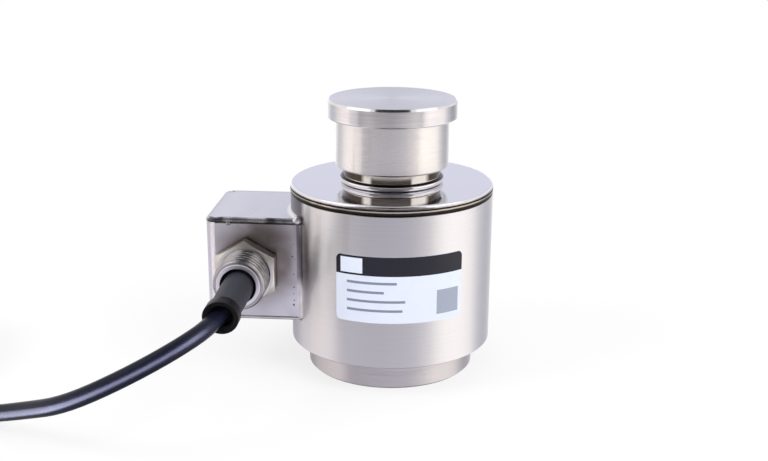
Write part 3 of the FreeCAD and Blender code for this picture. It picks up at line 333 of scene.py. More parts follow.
def addLamp(name, place, size, power, aim):
    lamp = bpy.data.objects.new(name, bpy.data.lights.new(name, "AREA"))
    bpy.context.scene.collection.objects.link(lamp)
    lamp.location = place
    lamp.rotation_euler = (Vector(aim) - Vector(place)).to_track_quat("-Z", "Y").to_euler()
    lamp.data.shape = "RECTANGLE"
    lamp.data.size, lamp.data.size_y = size
    lamp.data.energy = power
    lamp.visible_camera = False
    return lamp


def makeGleam(piece):
    # lamps that light and are shaded by this piece alone
    alone = bpy.data.collections.new("cableAlone")
    alone.objects.link(piece)
    aim = Vector(studio["gleamAim"])
    for count, angles in enumerate(studio["gleam"]):
        turn, rise = [math.radians(angle) for angle in angles]
        way = Vector((math.sin(turn) * math.cos(rise), -math.cos(turn) * math.cos(rise), math.sin(rise)))
        lamp = addLamp("cableStrip%d" % count, aim + way * studio["gleamReach"], studio["gleamSize"],
                       studio["gleamPower"], aim)
        lamp.data.color = hexColour(studio["gleamColour"])[:3]
        lamp.visible_diffuse = False
        lamp.light_linking.receiver_collection = alone
        lamp.light_linking.blocker_collection = alone


makeWorld()
makeFloor()
for onlyMirrored in [makeTent()] + makeCards():
    onlyMirrored.visible_camera = False
    onlyMirrored.visible_diffuse = False
    onlyMirrored.visible_transmission = False
    onlyMirrored.visible_shadow = False
for lampSettings in studio["lamps"]:
    addLamp(*lampSettings, studio["lampAim"]).visible_glossy = False
print("studio: camera, floor, tent, lamps")


# signal cable: out of the boot, down to the floor and wound up outside the picture
cable = {
    "diameter": 6.2,
    "length": 3000.0,
    "mouth": (-54.6, -73.0, 43.0),
    # the solid's own corners, moved a little to lie as in the picture
    "route": [(-54.8, -54.3, 42.4), (-55.2, -74.6, 42.2), (-64.2, -91.9, 39.2), (-82.0, -100.4, 30.7),
              (-103.0, -98.8, 19.8), (-121.0, -88.0, 12.0), (-138.0, -77.5, 4.9), (-154.0, -73.5, 3.1),
              (-173.0, -74.3, 4.5), (-188.0, -74.3, 4.5), (-204.0, -74.3, 4.5)],
    "coilCentre": (-216.0, -28.0),
    "coilStart": 270,              # degrees from +X where the route meets the coil
    "turnRadii": (46.3, 40.1, 33.9, 27.7),
    "layers": (4.5, 10.7, 16.9),
    "tailRadius": 37.0,
    "tailLevel": 24.55,
    # degrees of each turn in which it moves over by one place, layer by layer, and climbs to the next
    # layer; the upper turns go first, so that each one finds its place free
    "moveOver": ((185, 305), (115, 235), (50, 170)),
    "climb": ((150, 270), (80, 200)),
    "tailRise": (15, 135),         # the end climbs over the tie
    "tailShift": (80, 222),        # and moves out to the middle of the turns
    "tailEnd": 280,
    "pointsPerTurn": 24,
    "woundFrom": (-162.0, -184.0), # the jacket turns dull between these places, where the coil begins
}


def coilTracks():
    # radius and height by the angle wound so far: in along the floor, out on the second layer, in again
    inward, layers = cable["turnRadii"], cable["layers"]
    radii, levels, start = [(0, inward[0])], [(0, layers[0])], 0
    for layer, row in enumerate((inward, inward[::-1], inward)):
        for here, beside in zip(row, row[1:]):
            begin, end = cable["moveOver"][layer]
            radii += [(start + begin, here), (start + end, beside)]
            start += 360
        if layer < len(cable["climb"]):
            begin, end = cable["climb"][layer]
            levels += [(start + begin, layers[layer]), (start + end, layers[layer + 1])]
            start += 360
    (begin, end), (rise, top) = cable["tailShift"], cable["tailRise"]
    radii += [(start + begin, inward[-1]), (start + end, cable["tailRadius"])]
    levels += [(start + rise, layers[-1]), (start + top, cable["tailLevel"])]
    return radii, levels, start + cable["tailEnd"]


def eased(stations, wound):
    for before, after in zip(stations, stations[1:]):
        if wound <= after[0]:
            share = max(0.0, (wound - before[0]) / (after[0] - before[0]))
            return before[1] + smooth(share) * (after[1] - before[1])
    return stations[-1][1]


def coilPoints():
    radii, levels, end = coilTracks()
    centreX, centreY = cable["coilCentre"]
    step = 360 / cable["pointsPerTurn"]
    # a quadratic spline cuts inside its points, so they lie a little outside the turn
    widen = 1 / (0.25 + 0.75 * math.cos(math.radians(step / 2)) ** 2) ** 0.5
    count = round(end / step)
    points = []
    for index in range(1, count + 1):
        wound = end * index / count
        angle = math.radians(cable["coilStart"] - wound)
        radius = widen * eased(radii, wound)
        points.append((centreX + radius * math.cos(angle), centreY + radius * math.sin(angle),
                       eased(levels, wound)))
    return points


def makeCable():
    curve = bpy.data.curves.new("signalCable", "CURVE")
    curve.dimensions = "3D"
    curve.bevel_depth = 1.0            # each point carries the real radius, so that the curve's box is right
    curve.bevel_resolution = 10
    curve.resolution_u = 5
    curve.use_fill_caps = True
    line = curve.splines.new("NURBS")
    points = cable["route"] + coilPoints()
    line.points.add(len(points) - 1)
    for spot, (x, y, z) in zip(line.points, points):
        spot.co = (x * mm, y * mm, z * mm, 1.0)
        spot.radius = cable["diameter"] / 2 * mm
    line.order_u = 3
    line.use_endpoint_u = True
    line.use_smooth = True
    piece = bpy.data.objects.new("signalCable", curve)
    bpy.context.scene.collection.objects.link(piece)
    return keepOn(piece, "black_pvc", "cable_lead", "cable_coil", "cable_tail")


signalCable = makeCable()
signalCable.visible_glossy = False     # the wound rest isn't mirrored in the housing
makeGleam(signalCable)
print("cable:", len(signalCable.data.splines[0].points), "points")


# cable ties round the wound turns
tie = {
    "angles": (40.0, 220.0),
    "inside": (24.4, 49.6),        # radius of the strap's inner faces
    "levels": (1.2, 20.2),
    "thickness": 1.2,
    "width": 4.0,
    "corner": 3.2,
    "cornerSteps": 8,
    "toothPitch": 1.0,
    "toothDepth": 0.14,
    "toothSlope": 0.15,
    "rail": 0.5,                   # plain edge beside the teeth
    "head": (6.0, 5.0, 6.0),       # out from the coil, along it, up
    "headRise": 9.5,
    "headRound": 0.7,
    "headRoundMiddle": 0.21,       # depth of the rounding half way round
    "cutEnd": 2.6,                 # strap left standing out of the head
    "cutSink": 0.5,                # it starts this far inside
    "cutOut": 0.6,                 # and this far out from the head's middle
}


def strapPath():
    # the strap's middle line as radius and height, a rectangle with round corners
    half, corner, steps = tie["thickness"] / 2, tie["corner"], tie["cornerSteps"]
    left, right = tie["inside"][0] - half + corner, tie["inside"][1] + half - corner
    low, high = tie["levels"][0] - half + corner, tie["levels"][1] + half - corner
    middles = [(right, high), (left, high), (left, low), (right, low)]
    path = []
    for index, (x, z) in enumerate(middles):
        for step in range(steps + 1):
            turn = math.pi / 2 * (index + step / steps)
            path.append((x + corner * math.cos(turn), z + corner * math.sin(turn), turn))
        fromX, fromZ, turn = path[-1]
        runX, runZ = middles[(index + 1) % len(middles)][0] - x, middles[(index + 1) % len(middles)][1] - z
        count = round(2 * math.hypot(runX, runZ) / tie["toothPitch"])
        path += [(fromX + runX * step / count, fromZ + runZ * step / count, turn) for step in range(1, count)]
    return path


def makeTies():
    points, faces = [], []
    halfWidth, half = tie["width"] / 2, tie["thickness"] / 2
    inner, slope = halfWidth - tie["rail"], tie["toothSlope"]
    deep, wide, tall = tie["head"]
    halfDeep = (deep - half) / 2
    inset, between = tie["headRound"], tie["headRoundMiddle"]
    rises = [(0, inset), (between, between), (inset, 0), (tall - inset, 0), (tall - between, between),
             (tall, inset)]

    def strap(index):
        tooth = half - tie["toothDepth"] * (index % 2 + 0.5)
        return [(-halfWidth, -half), (halfWidth, -half), (halfWidth, half), (inner, half),
                (inner - slope, tooth), (slope - inner, tooth), (-inner, half), (-halfWidth, half)]

    def head(index):
        x, y = halfDeep - rises[index][1], wide / 2 - rises[index][1]
        return [(-x, inset - y), (inset - x, -y), (x - inset, -y), (x, inset - y),
                (x, y - inset), (x - inset, y), (inset - x, y), (-x, y - inset)]

    def cut(index):
        return [(-halfWidth, -half), (halfWidth, -half), (halfWidth, half), (-halfWidth, half)]

    for angle in tie["angles"]:
        out = Vector((math.cos(math.radians(angle)), math.sin(math.radians(angle)), 0))
        along = Vector((-out.y, out.x, 0))
        middle = Vector((*cable["coilCentre"], 0))
        frames = [(middle + out * radius + upward * height, along,
                   out * math.cos(turn) + upward * math.sin(turn)) for radius, height, turn in strapPath()]
        sweep(frames, strap, points, faces, closed=True)
        foot = middle + out * (tie["inside"][1] + half + halfDeep)
        foot += upward * (tie["levels"][0] + tie["headRise"])
        sweep([(foot + upward * rise, out, along) for rise, _ in rises], head, points, faces)
        sweep([(foot + out * tie["cutOut"] + upward * (tall + rise), along, out)
               for rise in (-tie["cutSink"], tie["cutEnd"])], cut, points, faces)
    return keepOn(meshPiece("nylonTies", points, faces, sharpAngle=40), "tie_nylon", "coil_ties")


nylonTies = makeTies()
print("ties:", len(nylonTies.data.polygons), "faces")


# the bare end: tinned strands at the tips of the cores, and the twisted drain wire
bareEnd = {
    "startAngle": 48.0,
    "tailAngle": 58.0,
    "gap": 0.05,
    "step": 0.85,                  # half the pitch of the cores
    # across, up and length of each core, in half pitches and mm
    "cores": [(1, 1, 42.0), (-1, 1, 45.0), (1, -1, 43.0), (-1, -1, 46.0)],
    "tipLength": 6.0,
    "drainDrop": -2.6,
    "drainLength": 42.0,
    "strand": 0.133,
    "strandsAround": 6,            # and one in the middle
    "strandSides": 6,
    "layPitch": 7.0,
    "splay": 0.25,                 # how far the strands open at their ends
    "splayPower": 4,
    "sample": 0.5,
}


def addStrands(offset, rise, start, length, points, faces):
    radius, thick, outer = cable["tailRadius"] + offset, bareEnd["strand"], bareEnd["strandsAround"]
    count = round(length / bareEnd["sample"])
    for strand in range(outer + 1):
        frames = []
        for index in range(count + 1):
            gone = length * index / count
            turn = math.radians(bareEnd["startAngle"]) - (start + gone) / cable["tailRadius"]
            out = Vector((math.cos(turn), math.sin(turn), 0))
            lay = 2 * math.pi * (gone / bareEnd["layPitch"] + strand / outer)
            opened = 1 + bareEnd["splay"] * (gone / length) ** bareEnd["splayPower"]
            ring = 2 * thick * opened if strand < outer else 0.0
            spot = Vector((*cable["coilCentre"], cable["tailLevel"] + rise)) + out * radius
            spot += out * (ring * math.cos(lay))
            frames.append((spot + upward * (ring * math.sin(lay)), out, upward))
        sweep(frames, lambda index: roundSection(thick, thick, bareEnd["strandSides"]), points, faces)


def makeBareEnd():
    tail = math.radians(bareEnd["tailAngle"]) * cable["tailRadius"] + bareEnd["gap"]
    step = bareEnd["step"]
    points, faces = [], []
    for across, up, length in bareEnd["cores"]:
        addStrands(across * step, up * step, tail + length, bareEnd["tipLength"], points, faces)
    tips = keepOn(meshPiece("tinnedTips", points, faces, sharpAngle=50), "tinned_copper", "lead_tips")
    points, faces = [], []
    addStrands(0.0, bareEnd["drainDrop"], tail, bareEnd["drainLength"], points, faces)
    drain = keepOn(meshPiece("drainWire", points, faces, sharpAngle=50), "tinned_copper", "lead_shield")
    return tips, drain


tinnedTips, drainWire = makeBareEnd()
print("bare end: tips and drain wire")


# gland: the sleeve with its thread, and the rubber boot
sleeve = {
    "axisX": -54.6,
    "axisZ": 43.0,
    "wallFace": -21.8,             # y of the box wall's outer face
    "back": -8.5,
    "reach": 18.7,
    "radius": 10.0,
    "bore": 8.4,
    "shoulder": 1.5,
    "cableWay": 3.3,
    "endChamfer": 0.8,
    "lip": 0.12,
    "pitch": 2.5,                  # as counted in the picture; a standard one has 1.5
    "threadDepth": 0.85,
    "threadFlank": 2.6,            # how steep the groove's sides are
    "threadRoot": 0.15,            # how flat its bottom is
    "threadStart": 5.2,            # just under the outer nut
    "runOut": 0.4,
    "rowStep": 0.16,
    "around": 112,
}


def sleeveRadius(along, angle):
    # the thread's groove at this place, opened out by the chamfer at the end
    phase = (along / sleeve["pitch"] - angle / (2 * math.pi)) % 1.0
    height = min(1.0, max(0.0, abs(phase - 0.5) * sleeve["threadFlank"] - sleeve["threadRoot"]))
    radius = sleeve["radius"] - sleeve["threadDepth"] * (1 - height)
    fromEnd = sleeve["reach"] - along
    return min(radius, sleeve["radius"] - sleeve["endChamfer"] + fromEnd)


def latheAlongGland(name, rows, around, radiusAt, shiftAt, sharpAngle):
    # rows of (distance from the wall, radius) turned about the gland's axis and joined end to end
    points, faces = [], []
    for row, (along, plain) in enumerate(rows):
        shiftX, shiftZ, lean, nod = shiftAt(along)
        low, high = row * around, (row + 1) % len(rows) * around
        for step in range(around):
            angle = 2 * math.pi * step / around
            radius = radiusAt(along, angle) if plain is None else plain
            x, z = radius * math.cos(angle), radius * math.sin(angle)
            points.append((mm * (sleeve["axisX"] + shiftX + x),
                           mm * (sleeve["wallFace"] - along - lean * x - nod * z),
                           mm * (sleeve["axisZ"] + shiftZ + z)))
            beside = (step + 1) % around
            faces.append((low + step, high + step, high + beside, low + beside))
    return meshPiece(name, points, faces, sharpAngle)


def makeSleeve():
    start, reach, radius = sleeve["threadStart"], sleeve["reach"], sleeve["radius"]
    back, chamfer, bore, lip = sleeve["back"], sleeve["endChamfer"], sleeve["bore"], sleeve["lip"]
    count = round((reach - start) / sleeve["rowStep"])
    rows = [(back, sleeve["cableWay"]), (back, radius - chamfer), (back + chamfer, radius),
            (start - sleeve["runOut"], radius)]
    rows += [(start + (reach - start) * index / count, None) for index in range(count + 1)]
    rows += [(reach, bore + lip), (reach - lip, bore), (sleeve["shoulder"], bore),
             (sleeve["shoulder"], sleeve["cableWay"])]
    piece = latheAlongGland("threadedSleeve", rows, sleeve["around"], sleeveRadius,
                            lambda along: (0, 0, 0, 0), sharpAngle=28)
    return keepOn(piece, "nickel_brass", "gland_sleeve")


boot = {
    "root": 8.5,                   # distances from the box wall's face
    "flangeEnd": 11.5,
    "flangeRadius": 8.35,
    "radius": 5.85,
    "bendStart": 20.0,
    "waist": (44.0, 5.5),
    "taperSteps": 24,
    "taperPower": 1.5,
    "collar": (45.2, 6.45),
    "end": 51.2,
    "collarRound": 0.55,
    "roundSteps": 6,
    "mouthRadius": 5.6,
    "mouthDepth": 1.8,             # a dished face round the cable
    "mouthSteps": 5,
    "mouthPower": 1.4,
    "throat": 3.8,
    "holeDepth": 7.0,
    "lean": (-0.25, -0.75),        # it leans on the ring's lower side
    "droop": (0.25, 0.3),          # how far the cable moves the end aside and up
    "nod": 0.2,                    # slope of its face, which looks down
    "around": 72,
}


def makeBoot():
    radius, flange, flangeEnd = boot["radius"], boot["flangeRadius"], boot["flangeEnd"]
    bend, turn, end = boot["bendStart"], boot["collarRound"], boot["end"]
    (waistAt, waist), (collarAt, collar) = boot["waist"], boot["collar"]
    mouth, throat, hole = boot["mouthRadius"], boot["throat"], end - boot["holeDepth"]
    rows = [(boot["root"], sleeve["cableWay"]), (boot["root"], flange), (flangeEnd, flange),
            (flangeEnd, radius)]
    for index in range(boot["taperSteps"] + 1):        # the slender taper
        share = index / boot["taperSteps"]
        thinner = (radius - waist) * share ** boot["taperPower"]
        rows.append((bend + share * (waistAt - bend), radius - thinner))
    for index in range(1, boot["roundSteps"] + 1):     # the step up to the collar, rounded
        share = index / boot["roundSteps"]
        rows.append((waistAt + share * (collarAt - waistAt), waist + smooth(share) * (collar - waist)))
    rows.append(((collarAt + end) / 2, collar))
    for index in range(boot["roundSteps"] + 1):
        angle = math.pi / 2 * index / boot["roundSteps"]
        rows.append((end - turn + turn * math.sin(angle), collar - turn + turn * math.cos(angle)))
    for index in range(1, boot["mouthSteps"] + 1):     # the hollow mouth, narrowing like a funnel
        share = index / boot["mouthSteps"]
        sunk = boot["mouthDepth"] * share ** boot["mouthPower"]
        rows.append((end - sunk, mouth + (throat - mouth) * share))
    rows += [(hole, throat), (hole, sleeve["cableWay"])]

    def droopAt(along):
        share = max(0.0, (along - bend) / (end - bend))
        seated = min(1.0, max(0.0, (along - flangeEnd) / (bend - flangeEnd)))
        shiftX, shiftZ = [lean * seated + droop * share ** 2
                          for lean, droop in zip(boot["lean"], boot["droop"])]
        return shiftX, shiftZ, -2 * boot["droop"][0] * share / (end - bend), boot["nod"] * share ** 2

    piece = latheAlongGland("rubberBoot", rows, boot["around"], None, droopAt, sharpAngle=40)
    return keepOn(piece, "black_rubber", "cable_boot")


threadedSleeve = makeSleeve()
threadedSleeve.visible_glossy = False  # not mirrored, so that the tube keeps its bright left band
rubberBoot = makeBoot()
print("gland: threaded sleeve and boot")


# weld beads on the side box
welds = {
    "boxHalf": 21.8,
    "boxEnd": -70.8,
    "bend": 4.0,
    "boxRoof": 63.2,
    "boxFloor": 22.8,
    "tubeRadius": 40.0,
    "beadInset": 0.72,             # middle of the dressed bead inside the wall's face and the plate's face
    "beadHalf": 0.82,
    "frontHalf": 1.1,              # the front bead was left round, and stands a little proud
    "frontRise": 0.55,
    "frontStart": 1.5,             # it swells in this far from the end of the box
    "frontFull": 6.5,
    "ripple": 1.1,                 # from one frozen pool to the next
    "rippleDepth": 0.05,
    "rippleStray": 0.35,           # share of a ripple by which the pools stray, and over what length
    "strayLength": 3.0,
    "wander": 0.10,                # slow change of the bead, in long waves and short ones half as high
    "wanderLengths": (6.0, 2.1),
    "wanderSeeds": (3.7, 9.1),
    "step": 0.3,
    "sides": 16,
    "seamLeg": 1.6,                # the seams along the tube are ground to a hollow fillet
    "seamRoot": 0.3,               # and reach this far into both walls
    "seamInset": 0.5,              # they stop short of roof and floor
    "seamRunOut": 5,               # and run out over this many steps
    "seamStub": 0.35,              # share of a step left at the very end
    "seamSteps": 6,
    "dropRings": 10,
    "dropAround": 16,
    "dropLump": 0.18,
    "lumpScale": 1.3,
    "tackRadius": 1.9,
    "tackPlace": (-1.2, 0.5, 0.6), # from the corner: along the box, out, up
    "dripPlace": (-61.5, -21.9, 61.9),   # a drop that ran down from the front bead
    "dripRadius": 0.95,
    "dripFlat": 0.7,
    "dripSeed": 3.1,
    # pinholes beside the front seam: height and radius; they stray from a line and are shallow
    "pinholeX": -36.4,
    "pinholeStray": 0.9,
    "pinholeSpread": 1.7,
    "pinholeFlat": 0.3,
    "pinholes": [(54.0, 0.16), (49.0, 0.26), (48.0, 0.16), (41.8, 0.24), (36.5, 0.26), (33.8, 0.20),
                 (31.1, 0.24), (29.3, 0.32), (28.8, 0.22)],
}


def addFillet(frames, points, faces):
    # a hollow fillet between two walls, run out to nothing at both ends
    last, root, steps = len(frames) - 1, welds["seamRoot"], welds["seamSteps"]

    def section(index):
        run = (min(index, last - index) + welds["seamStub"]) / welds["seamRunOut"]
        leg = welds["seamLeg"] * math.sqrt(min(1.0, run))
        hollow = [(leg * (1 - step / steps) ** 2, leg * (step / steps) ** 2) for step in range(steps + 1)]
        return [(-root, -root), (leg, -root)] + hollow + [(-root, leg)]

    sweep(frames, section, points, faces)


def addDrop(middle, radius, flat, seed, points, faces):
    # a frozen drop of weld metal, a little lumpy; flat squeezes it along Y
    rings, around = welds["dropRings"], welds["dropAround"]
    first = len(points)

    def spot(way):
        lump = noise.noise(way * welds["lumpScale"] + Vector((seed, 0, 0)))
        size = radius * (1 + welds["dropLump"] * lump)
        return mm * (middle + Vector((way.x, way.y * flat, way.z)) * size)

    points.append(spot(upward))
    for ring in range(1, rings):
        polar = math.pi * ring / rings
        for x, y in roundSection(math.sin(polar), math.sin(polar), around):
            points.append(spot(Vector((x, y, math.cos(polar)))))
    points.append(spot(-upward))
    lowest = len(points) - 1
    for step in range(around):
        beside = (step + 1) % around
        faces.append((first, first + 1 + step, first + 1 + beside))
        for ring in range(rings - 2):
            upper, lower = first + 1 + ring * around, first + 1 + (ring + 1) * around
            faces.append((upper + step, lower + step, lower + beside, upper + beside))
        faces.append((lowest - around + step, lowest, lowest - around + beside))


def beadSize(index, seed):
    along = index * welds["step"]
    stray = welds["rippleStray"] * noise.noise((along / welds["strayLength"], seed, 0.0))
    pool = (along / welds["ripple"] + stray) % 1.0
    long, short = [noise.noise((along / length, seed, other))
                   for length, other in zip(welds["wanderLengths"], welds["wanderSeeds"])]
    return 1 + welds["wander"] * (long + 0.5 * short) - welds["rippleDepth"] * (2 * pool - 1) ** 2


def boxEdge(inset):
    # the box's outline from the tube at the front, round both folds, to the tube at the rear
    half = welds["boxHalf"] - inset
    end = welds["boxEnd"] + inset
    bend = welds["bend"] - inset
    start = -math.sqrt(welds["tubeRadius"] ** 2 - half ** 2)
    line = []

    def run(fromX, fromY, toX, toY):
        count = round(math.hypot(toX - fromX, toY - fromY) / welds["step"])
        for index in range(count):
            share = index / count
            line.append((fromX + share * (toX - fromX), fromY + share * (toY - fromY)))

    def fold(middleX, middleY, fromAngle, toAngle):
        count = round(bend * abs(toAngle - fromAngle) / welds["step"])
        for index in range(count):
            angle = fromAngle + (toAngle - fromAngle) * index / count
            line.append((middleX + bend * math.cos(angle), middleY + bend * math.sin(angle)))

    run(start, -half, end + bend, -half)
    fold(end + bend, -half + bend, -math.pi / 2, -math.pi)
    run(end, -half + bend, end, half - bend)
    fold(end + bend, half - bend, math.pi, math.pi / 2)
    run(end + bend, half, start, half)
    return line


def makePlateBeads():
    pieces, frames = [], []
    line = boxEdge(welds["beadInset"])
    for index, (x, y) in enumerate(line):
        before, after = line[max(index - 1, 0)], line[min(index + 1, len(line) - 1)]
        along = Vector((after[0] - before[0], after[1] - before[1], 0)).normalized()
        frames.append((Vector((x, y, 0)), Vector((along.y, -along.x, 0)), upward))
    for name, node, height, proud, seed in (
            ("topPlateBead", "box_top_weld", welds["boxRoof"] - welds["beadInset"], 1.0, 1.3),
            ("bottomPlateBead", "box_bottom_weld", welds["boxFloor"] + welds["beadInset"], 0.0, 5.9)):

        def section(index):
            x, y = line[index]
            share = (x - welds["boxEnd"] - welds["frontStart"]) / (welds["frontFull"] - welds["frontStart"])
            share = proud * min(1.0, max(0.0, share)) if y < 0 else 0.0
            swell = welds["frontHalf"] * beadSize(index, seed) - welds["beadHalf"]
            half = welds["beadHalf"] + share * swell
            return [(across, high + share * welds["frontRise"])
                    for across, high in roundSection(half, half, welds["sides"])]

        points, faces = [], []
        sweep([(middle + upward * height, side, up) for middle, side, up in frames], section, points, faces)
        if proud:
            addDrop(Vector(welds["dripPlace"]), welds["dripRadius"], welds["dripFlat"], welds["dripSeed"],
                    points, faces)
        pieces.append(keepOn(meshPiece(name, points, faces), "weld_stainless", node))
    return pieces


def makeSeams():
    # fillets between the box and the tube, with a drop at each upper corner
    points, faces = [], []
    half, radius, step = welds["boxHalf"], welds["tubeRadius"], welds["step"]
    roof, ground, inset = welds["boxRoof"], welds["boxFloor"], welds["seamInset"]
    spread = math.asin(half / radius)
    tackX, tackY, tackZ = welds["tackPlace"]
    count = round((roof - ground - 2 * inset) / step)
    for seed, way in ((2.2, -1), (4.4, 1)):
        corner = Vector((-math.sqrt(radius ** 2 - half ** 2), way * half, 0))
        onTube = Vector((math.sin(spread), way * math.cos(spread), 0))
        addFillet([(corner + upward * (ground + inset + index * step), Vector((-1, 0, 0)), onTube)
                   for index in range(count + 1)], points, faces)
        tack = corner + Vector((tackX, way * tackY, roof + tackZ))
        addDrop(tack, welds["tackRadius"], 1.0, seed, points, faces)
    count = round(2 * spread * radius / step)
    for height, way in ((roof, 1), (ground, -1)):
        frames = []
        for index in range(count + 1):
            angle = math.pi - spread + 2 * spread * index / count
            outward = Vector((math.cos(angle), math.sin(angle), 0))
            frames.append((outward * radius + upward * height, outward, upward * way))
        addFillet(frames, points, faces)
    return keepOn(meshPiece("tubeSeamBeads", points, faces, sharpAngle=50), "weld_stainless", "box_tube_weld")


def makePinholes():
    # small burnt pinholes where the seam's edge was ground flush
    points, faces = [], []
    for height, radius in welds["pinholes"]:
        stray = welds["pinholeStray"] * noise.noise((height * welds["pinholeSpread"], 0, 0))
        middle = Vector((welds["pinholeX"] + stray, -welds["boxHalf"], height))
        addDrop(middle, radius, welds["pinholeFlat"], height, points, faces)
    piece = meshPiece("seamPinholes", points, faces)
    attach(piece, "root")
    return piece


weldPieces = makePlateBeads() + [makeSeams()]
seamPinholes = makePinholes()
print("welds:", len(weldPieces), "beads")


# finishes; sizes in mm
finish = {
    "steel": "#DDDBDD",
    # between tool marks, across a brush streak and a polishing swirl, all coarser than real so that they
    # show, and how far each runs round the axis
    "toolMark": (0.8, 22),
    "brushStreak": (0.6, 34),
    "swirl": (1.4, 12),
    "rimSwirl": (1.4, 2.5),
    "shallow": 0.05,               # depth of such marks
    "turnedSpread": (0.85, 1.2),   # how far they change a turned zone's roughness
    "weldStretch": 9.0,            # length of a bare or dark stretch of bead
    "weldBare": (0.42, 0.62),      # its noise runs from scale with a painted dark reflection to bare metal between these
    "dressedFrom": (-21.0, -19.5), # the beads are dressed bright behind this depth
    "sheetGrain": 0.5,
    "grainDepth": 0.1,
    "smear": 11.11,                # across a wiped patch
    "frontDarker": (3.0, 0.1),         # depth behind the box's front where its tone turns darker
    # the side box's sheet bows from just outside its end to this far from it, and by how much
    "bowLead": 0.5,
    "bowReach": 14.0,
    "bowDepth": 1.5,
    "platingPatch": 4.0,
    "threadRootShade": (0.75, 0.15),     # shares of the thread's depth between which painted shade in its roots gives way to metal
    "collarEdge": (0.5, -0.7),     # from the boot's waist, where the shank's rubber gives way to the collar's
    "roughSpread": 0.06,           # how far a speckled finish strays from its roughness
    "rubberGrain": 0.35,
    "jacketGrain": 1.2,
    "jacketDepth": 0.006,
    "neckFrom": 74.0,              # the column is polished above this height
    "baseTop": 11.3,               # and dull on the base spigot, toned darker as a painted reflection of the shaded floor
    "beadShadeFrom": 77.0,             # painted shade lies on its bead above this height, under the cap
    # painted shade on the neck's flanks, in the gap under the cap, from this height; middle, half width and
    # soft edge of what is still bright
    "neckShade": (78.0, 2.2, 12.2, 0.8),
    "flangeFrom": 100.6,           # the cap's flange is turned finer than its skirt
    "topFrom": 107.6,
    "tubeTop": (70.9, 71.1),       # heat from the lid's seam darkens the tube between these heights
    # and painted shade over the box's roof, where the tube mirrors it: height, and x where it begins and is
    # full
    "roofShade": (62.6, -31.4, -33.2),
    # painted dark reflection of the gland on the front seam: from this height to that, and x where it begins
    # and is full; how softly it starts, and what share of the box's half width counts as its front
    "seamReflection": (39.0, 62.8, -37.4, -35.2),
    "seamFade": 2.0,
    "seamFront": 0.8,
    # the heat tint over and to the right of the nut, with painted shade of the nut and the bead in it: shift
    # of its middle, where it ends and is full, and strength
    "nutTintShadeShift": 5.0,
    "nutTintShadeReach": (23.0, 9.5),
    "nutTintShadeStrength": 1.6,
    "nutTintShadeSmear": (0.3, 0.35),   # how much of it follows the smears, and how much is even
    # the lid's rim from the seam up: height and colour of scale, bare metal, groove darkened with painted
    # shade, and polished edge
    "rim": [(72.2, "#2B2624"), (72.45, "#3A3431"), (72.6, "#A09890"), (73.0, "#B9B1A8"), (73.1, "#26221F"),
            (73.6, "#26221F"), (73.8, "#8F8984"), (74.2, "#DEDDE2")],
    "rimWave": 0.12,
}


noiseSpan = {"From Min": 0.3, "From Max": 0.7}     # most of a noise lies between these


def mottled(tree, pattern, dark, light, smoothest, roughest, span=None):
    # a tone and a roughness that both follow one pattern
    tone = addNode(tree, "Mix", {"Factor": pattern, "A": dark, "B": light}, data_type="RGBA")
    rough = addNode(tree, "MapRange", {
        "Value": pattern, "To Min": smoothest, "To Max": roughest, **(span or {})})
    return tone, rough


def ringCoordinates(tree, across, along):
    # a place on a turned surface, fine along the profile and stretched round the axis, with its x and height
    place, x, y, z = objectPlace(tree)
    flat = addNode(tree, "CombineXYZ", {"X": x, "Y": y})
    radius = addNode(tree, "VectorMath", {0: flat}, operation="LENGTH")
    way = addNode(tree, "VectorMath", {0: flat}, operation="NORMALIZE")
    profile = addNode(tree, "Math", {0: radius, 1: z}, operation="ADD")
    fine = addNode(tree, "Math", {0: profile, 1: cells(across)}, operation="MULTIPLY")
    turn = addNode(tree, "VectorMath", {0: way, "Scale": welds["tubeRadius"] / along}, operation="SCALE")
    lift = addNode(tree, "CombineXYZ", {"Z": fine})
    return addNode(tree, "VectorMath", {0: turn, 1: lift}, operation="ADD"), x, z


def glandDistance(tree, place, shift=0.0):
    # how far a place is from the gland's axis, or from a line that lies over it and to its right
    axis = ((sleeve["axisX"] + shift) * mm, 0, (sleeve["axisZ"] + shift) * mm)
    off = addNode(tree, "VectorMath", {0: place, 1: axis}, operation="SUBTRACT")
    level = addNode(tree, "VectorMath", {0: off, 1: (1, 0, 1)}, operation="MULTIPLY")
    return addNode(tree, "VectorMath", {0: level}, operation="LENGTH")


def seamGlandReflection(tree, x, y, z):
    # 1 where the front seam between box and tube shows the painted dark reflection of the gland
    low, high, begin, full = [level * mm for level in finish["seamReflection"]]
    fade, front = finish["seamFade"] * mm, -finish["seamFront"] * welds["boxHalf"] * mm
    mirroredGland = addNode(tree, "MapRange", {"Value": x, "From Min": begin, "From Max": full})
    for share in (addNode(tree, "MapRange", {"Value": z, "From Min": low - fade, "From Max": low + fade}),
                  addNode(tree, "Math", {0: z, 1: high}, operation="LESS_THAN"),
                  addNode(tree, "Math", {0: y, 1: front}, operation="LESS_THAN")):
        mirroredGland = addNode(tree, "Math", {0: mirroredGland, 1: share}, operation="MULTIPLY")
    return mirroredGland


